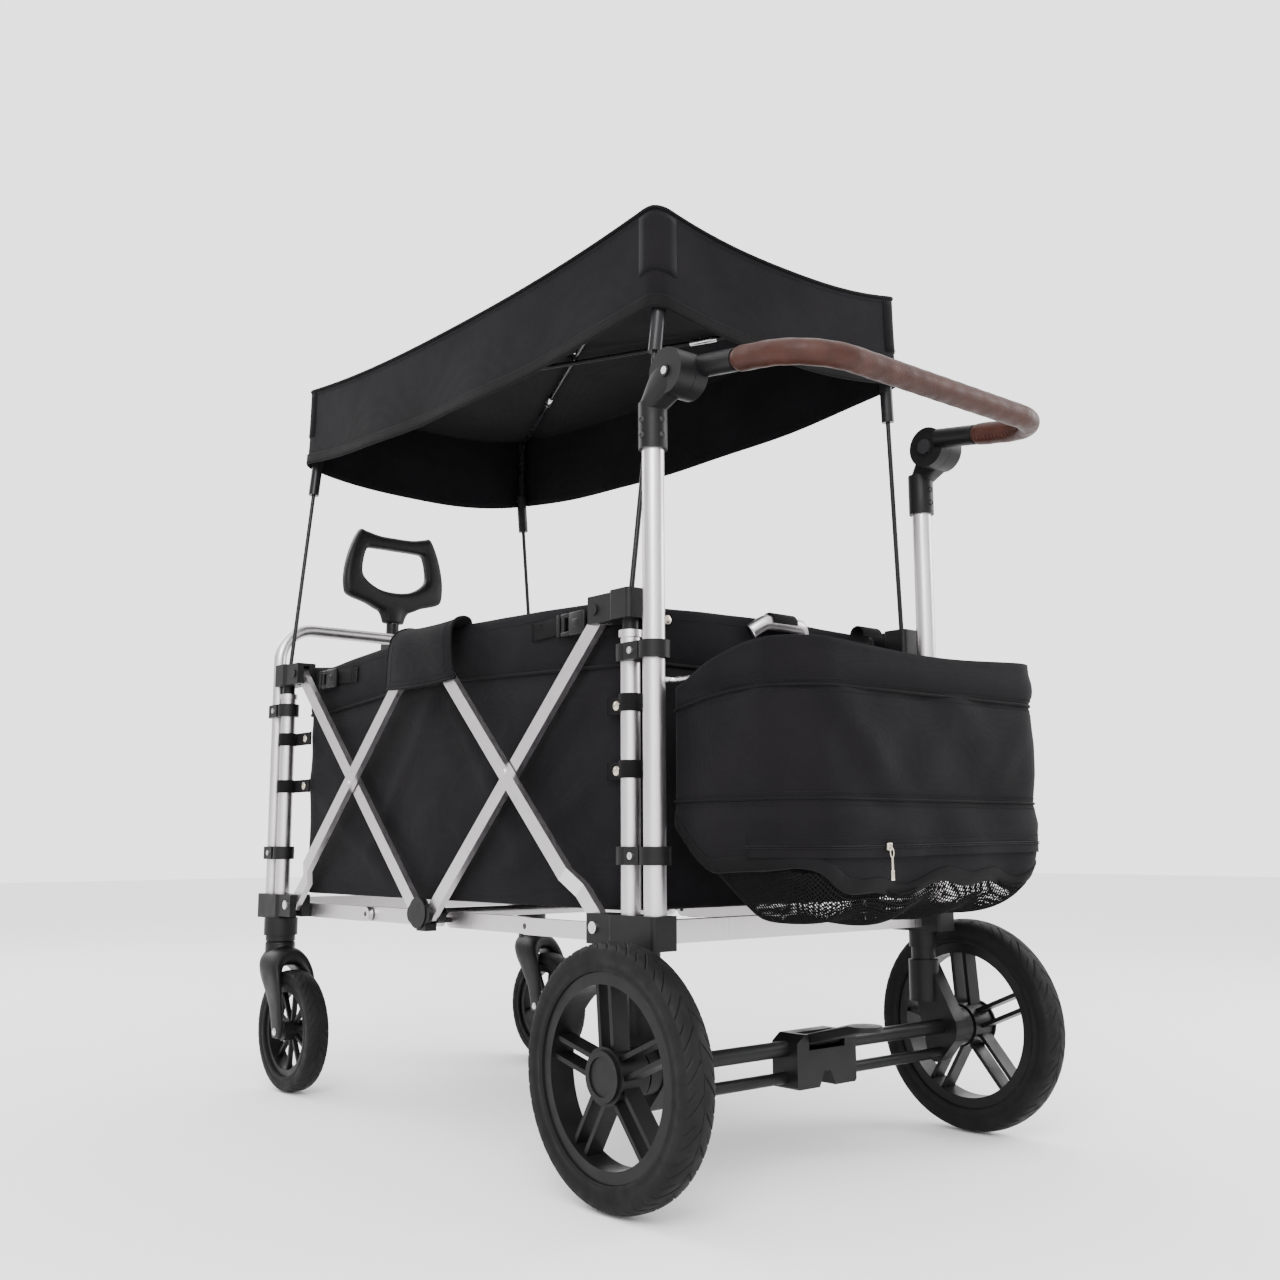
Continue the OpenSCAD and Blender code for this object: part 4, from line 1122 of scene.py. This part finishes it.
def zipper(loop):
    """Zip low on the rear face, from round the left corner to the right one."""
    way = [p for p in loop if p[1] < BAG_REAR + (0.02 if p[0] > 0 else 0.085)]
    way.sort(key=lambda p: (round(p[0], 5), -p[1]))

    def row(out, dz=0.0):
        return [Vector(on_bag(x, y, nx, ny, 0.409 + dz + 0.002 * math.sin(9 * x), out))
                for x, y, nx, ny in way]

    def face(t):
        return Vector((*way[round(t * (len(way) - 1))][2:], 0))
    made = [ribbon("zip_tape", row(0.0002), face, 0.024, 0.0010, FABRIC)]
    for k, dz in ((0, 0.0011), (1, -0.0011)):
        made.append(stitches("zip_teeth_%d" % k, row(0.0014, dz), 0.0024, 0.0010, COATED, 0.7,
                             (0.15, (0, 0, 1))))
    for k, dz in ((2, 0.010), (3, -0.010)):
        made.append(stitches("zip_thread_%d" % k, row(0.0009, dz), 0.004, 0.0004))
    head = min(row(0.0040), key=lambda p: abs(p.x + 0.103) + abs(p.y - BAG_REAR))
    parts = [rounded_box("z", head - Vector((0.0045, 0.0020, 0.0045)),
                         head + Vector((0.0045, 0.0020, 0.0045)), BRASS, 0.0016)]
    ring = [head + Vector((0.0030 * math.cos(a), -0.0036, -0.007 + 0.0055 * math.sin(a)))
            for a in np.linspace(0, TAU, 20, endpoint=False)]
    parts.append(tube("z", ring, 0.0008, BRASS, 8, closed=True))
    parts.append(rounded_box("z", head + Vector((-0.0016, -0.0048, -0.028)),
                             head + Vector((0.0016, -0.0030, -0.0115)), BRASS, 0.0007))
    parts.append(rounded_box("z", head + Vector((-0.0028, -0.0050, -0.039)),
                             head + Vector((0.0028, -0.0030, -0.027)), BRASS, 0.0009))
    made.append(joined("zip_pull", parts))
    return made


# ---- handles ----

def grip_line(t):
    """A point along the push grip's middle line, from the right arm to the left."""
    bow_x, bend, start, length = 0.240, 0.074, 0.086, 0.2085
    slope = math.radians(8)
    straight, across = length - bend - start, 2 * (bow_x - bend)
    arc = bend * math.pi / 2
    s = t * (2 * straight + 2 * arc + across)
    if s > straight + arc + across / 2:
        x, y = grip_plane(2 * straight + 2 * arc + across - s, bow_x, bend, start, straight, arc)
        x = -x
    else:
        x, y = grip_plane(s, bow_x, bend, start, straight, arc)
    return Vector((x, -0.468 + y * math.cos(slope), 1.005 + y * math.sin(slope)))


def grip_plane(s, bow_x, bend, start, straight, arc):
    if s < straight:
        return bow_x, -start - s
    if s < straight + arc:
        a = (s - straight) / bend
        return bow_x - bend + bend * math.cos(a), -start - straight - bend * math.sin(a)
    return bow_x - bend - (s - straight - arc), -start - straight - bend


def make_grip():
    """Leather wrapped round the bow, closed by whip stitches on its inner side."""
    count = 150
    rows = []
    placed = [grip_line(t) for t in np.linspace(0, 1, count)]
    down = Vector((0, math.sin(math.radians(8)), -math.cos(math.radians(8))))
    for i, centre in enumerate(placed):
        ahead = placed[min(i + 1, count - 1)] - placed[max(i - 1, 0)]
        inner = ahead.normalized().cross(down).normalized()
        if inner.dot(Vector((0, -0.56, 0.99)) - centre) < 0:
            inner = -inner
        row = []
        for k in range(28):
            a = TAU * k / 28
            seam = math.exp(-((a - math.radians(30)) / 0.16) ** 2)
            r = 0.0158 - 0.0012 * seam + 0.00025 * math.sin(0.9 * i) * math.cos(2 * a)
            if i in (0, count - 1):
                r = 0.0125
            elif i in (1, count - 2):
                r = 0.0150
            row.append(centre + (inner * math.cos(a) + down * math.sin(a)) * r)
        rows.append(row)
    grip = grid_object("grip_leather", rows, LEATHER, closed_columns=True, caps=True)
    lace = []
    for i in range(2, count - 2):
        ahead = (placed[i + 1] - placed[i - 1]).normalized()
        inner = ahead.cross(down).normalized()
        if inner.dot(Vector((0, -0.56, 0.99)) - placed[i]) < 0:
            inner = -inner
        a = math.radians(30)
        lace.append(placed[i] + (inner * math.cos(a) + down * math.sin(a)) * 0.0156)
    thread = stitches("grip_stitches", lace, 0.0062, 0.0006, LEATHER_THREAD, 1.15,
                      (0.55, down * 0.9))
    dress(grip, "push_handle", "leather", "grip_cover")
    dress(thread, "push_handle", "leather")


SCREW = [(-0.004, 0.0042), (0.0006, 0.0044), (0.0016, 0.0038), (0.0022, 0.0026), (0.0014, 0.0020),
         (0.0012, 0.0004)]


def make_joint_caps():
    """Pale rivet caps on the push handle's joints and screws in the tube sleeves."""
    outer_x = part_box("handle_joint_sleeves")[1].x
    for side, word in ((-1, "left"), (1, "right")):
        cap = lathe("joint_cap_" + word, (side * (outer_x - 0.0056), -0.468, 0.993), (side, 0, 0),
                    [(0, 0.0062), (0.0010, 0.0062), (0.0022, 0.0048), (0.0026, 0.002)],
                    CAP_GREY)
        dress(cap, "root", "steel")
        for way, place in (((side, 0), (0.2872, -0.430)), ((0, -1), (0.269, -0.4482))):
            for z in (0.918, 0.938):
                screw = lathe("sleeve_screw_%s_%d_%d" % (word, round(z * 1000), abs(way[0])),
                              (side * place[0], place[1], z), (*way, 0), SCREW, BUTTON, 20)
                dress(screw, "root", "steel")


def make_pull_grip():
    """The closed loop of the pull handle, moulded in one with its socket."""
    low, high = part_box("pull_handle")
    y = (low.y + high.y) / 2
    outer = [(0, 22), (33, 24), (62, 36), (100, 47), (109, 60), (110, 95), (100, 140), (81, 181),
             (68, 181), (38, 175), (0, 174)]
    inner = [(0, 63), (30, 66), (52, 75), (67, 87), (72, 96), (73, 107), (70, 128), (65, 143),
             (58, 147), (35, 148), (0, 148)]
    rims = [smooth_line([(x, z, 0) for x, z in half + [(-x, z) for x, z in half[-2:0:-1]]], 5, True)
            for half in (outer, inner)]
    rows = []
    for o, i in zip(*rims):
        centre, reach = (o + i) / 2, (o - i) / 2
        row = []
        for a in np.linspace(0, TAU, 24, endpoint=False):
            c, d = math.cos(a), math.sin(a)
            c, d = math.copysign(abs(c) ** 0.62, c), math.copysign(abs(d) ** 0.62, d)
            p = centre + reach * c
            row.append((p.x / 1000, y + 0.0132 * d, 0.846 + p.y / 1000))
        rows.append(row)
    loop = grid_object("l", rows, PLASTIC, closed_rows=True, closed_columns=True)
    rows = []
    for z, wide, deep in ((0.0, 22, 12.5), (0.002, 24, 13.2), (0.010, 26, 13.2), (0.020, 31, 13.2),
                          (0.030, 40, 13.2), (0.040, 44, 12.0)):
        rows.append([(wide / 1000 * math.cos(a), y + deep / 1000 * math.sin(a), 0.846 + z)
                     for a in np.linspace(0, TAU, 32, endpoint=False)])
    neck = grid_object("n", rows, PLASTIC, closed_columns=True, caps=True)
    grip = joined("pull_grip", [loop, neck])
    modifier(grip, "REMESH", mode="VOXEL", voxel_size=0.0022)
    modifier(grip, "SMOOTH", factor=0.5, iterations=8)
    bake_modifiers(grip)
    grip.data.materials.clear()
    grip.data.materials.append(PLASTIC)
    dress(grip, "pole_slide", "black_plastic", "pull_handle")
    rod = lathe("pull_tube", (0, y, low.z), (0, 0, 1),
                [(0, 0.0085), (0.002, 0.010), (0.408, 0.010), (0.410, 0.0085)], TUBE)
    dress(rod, "pole_slide", "tube")


# ---- everything ----

make_camera()
make_studio()
dress_frame()
tyre("rear_tyre_left", "wheel_rear_left", 0.034, 52)
tyre("rear_tyre_right", "wheel_rear_right", 0.034, 52)
tyre("front_tyre_left", "wheel_front_left", 0.026, 40)
tyre("front_tyre_right", "wheel_front_right", 0.026, 40)
caster_fork("left")
caster_fork("right")
make_tub()
make_flap(-1, "left")
make_flap(1, "right")
make_post_loops()
make_canopy()
make_bag()
make_grip()
make_joint_caps()
make_pull_grip()
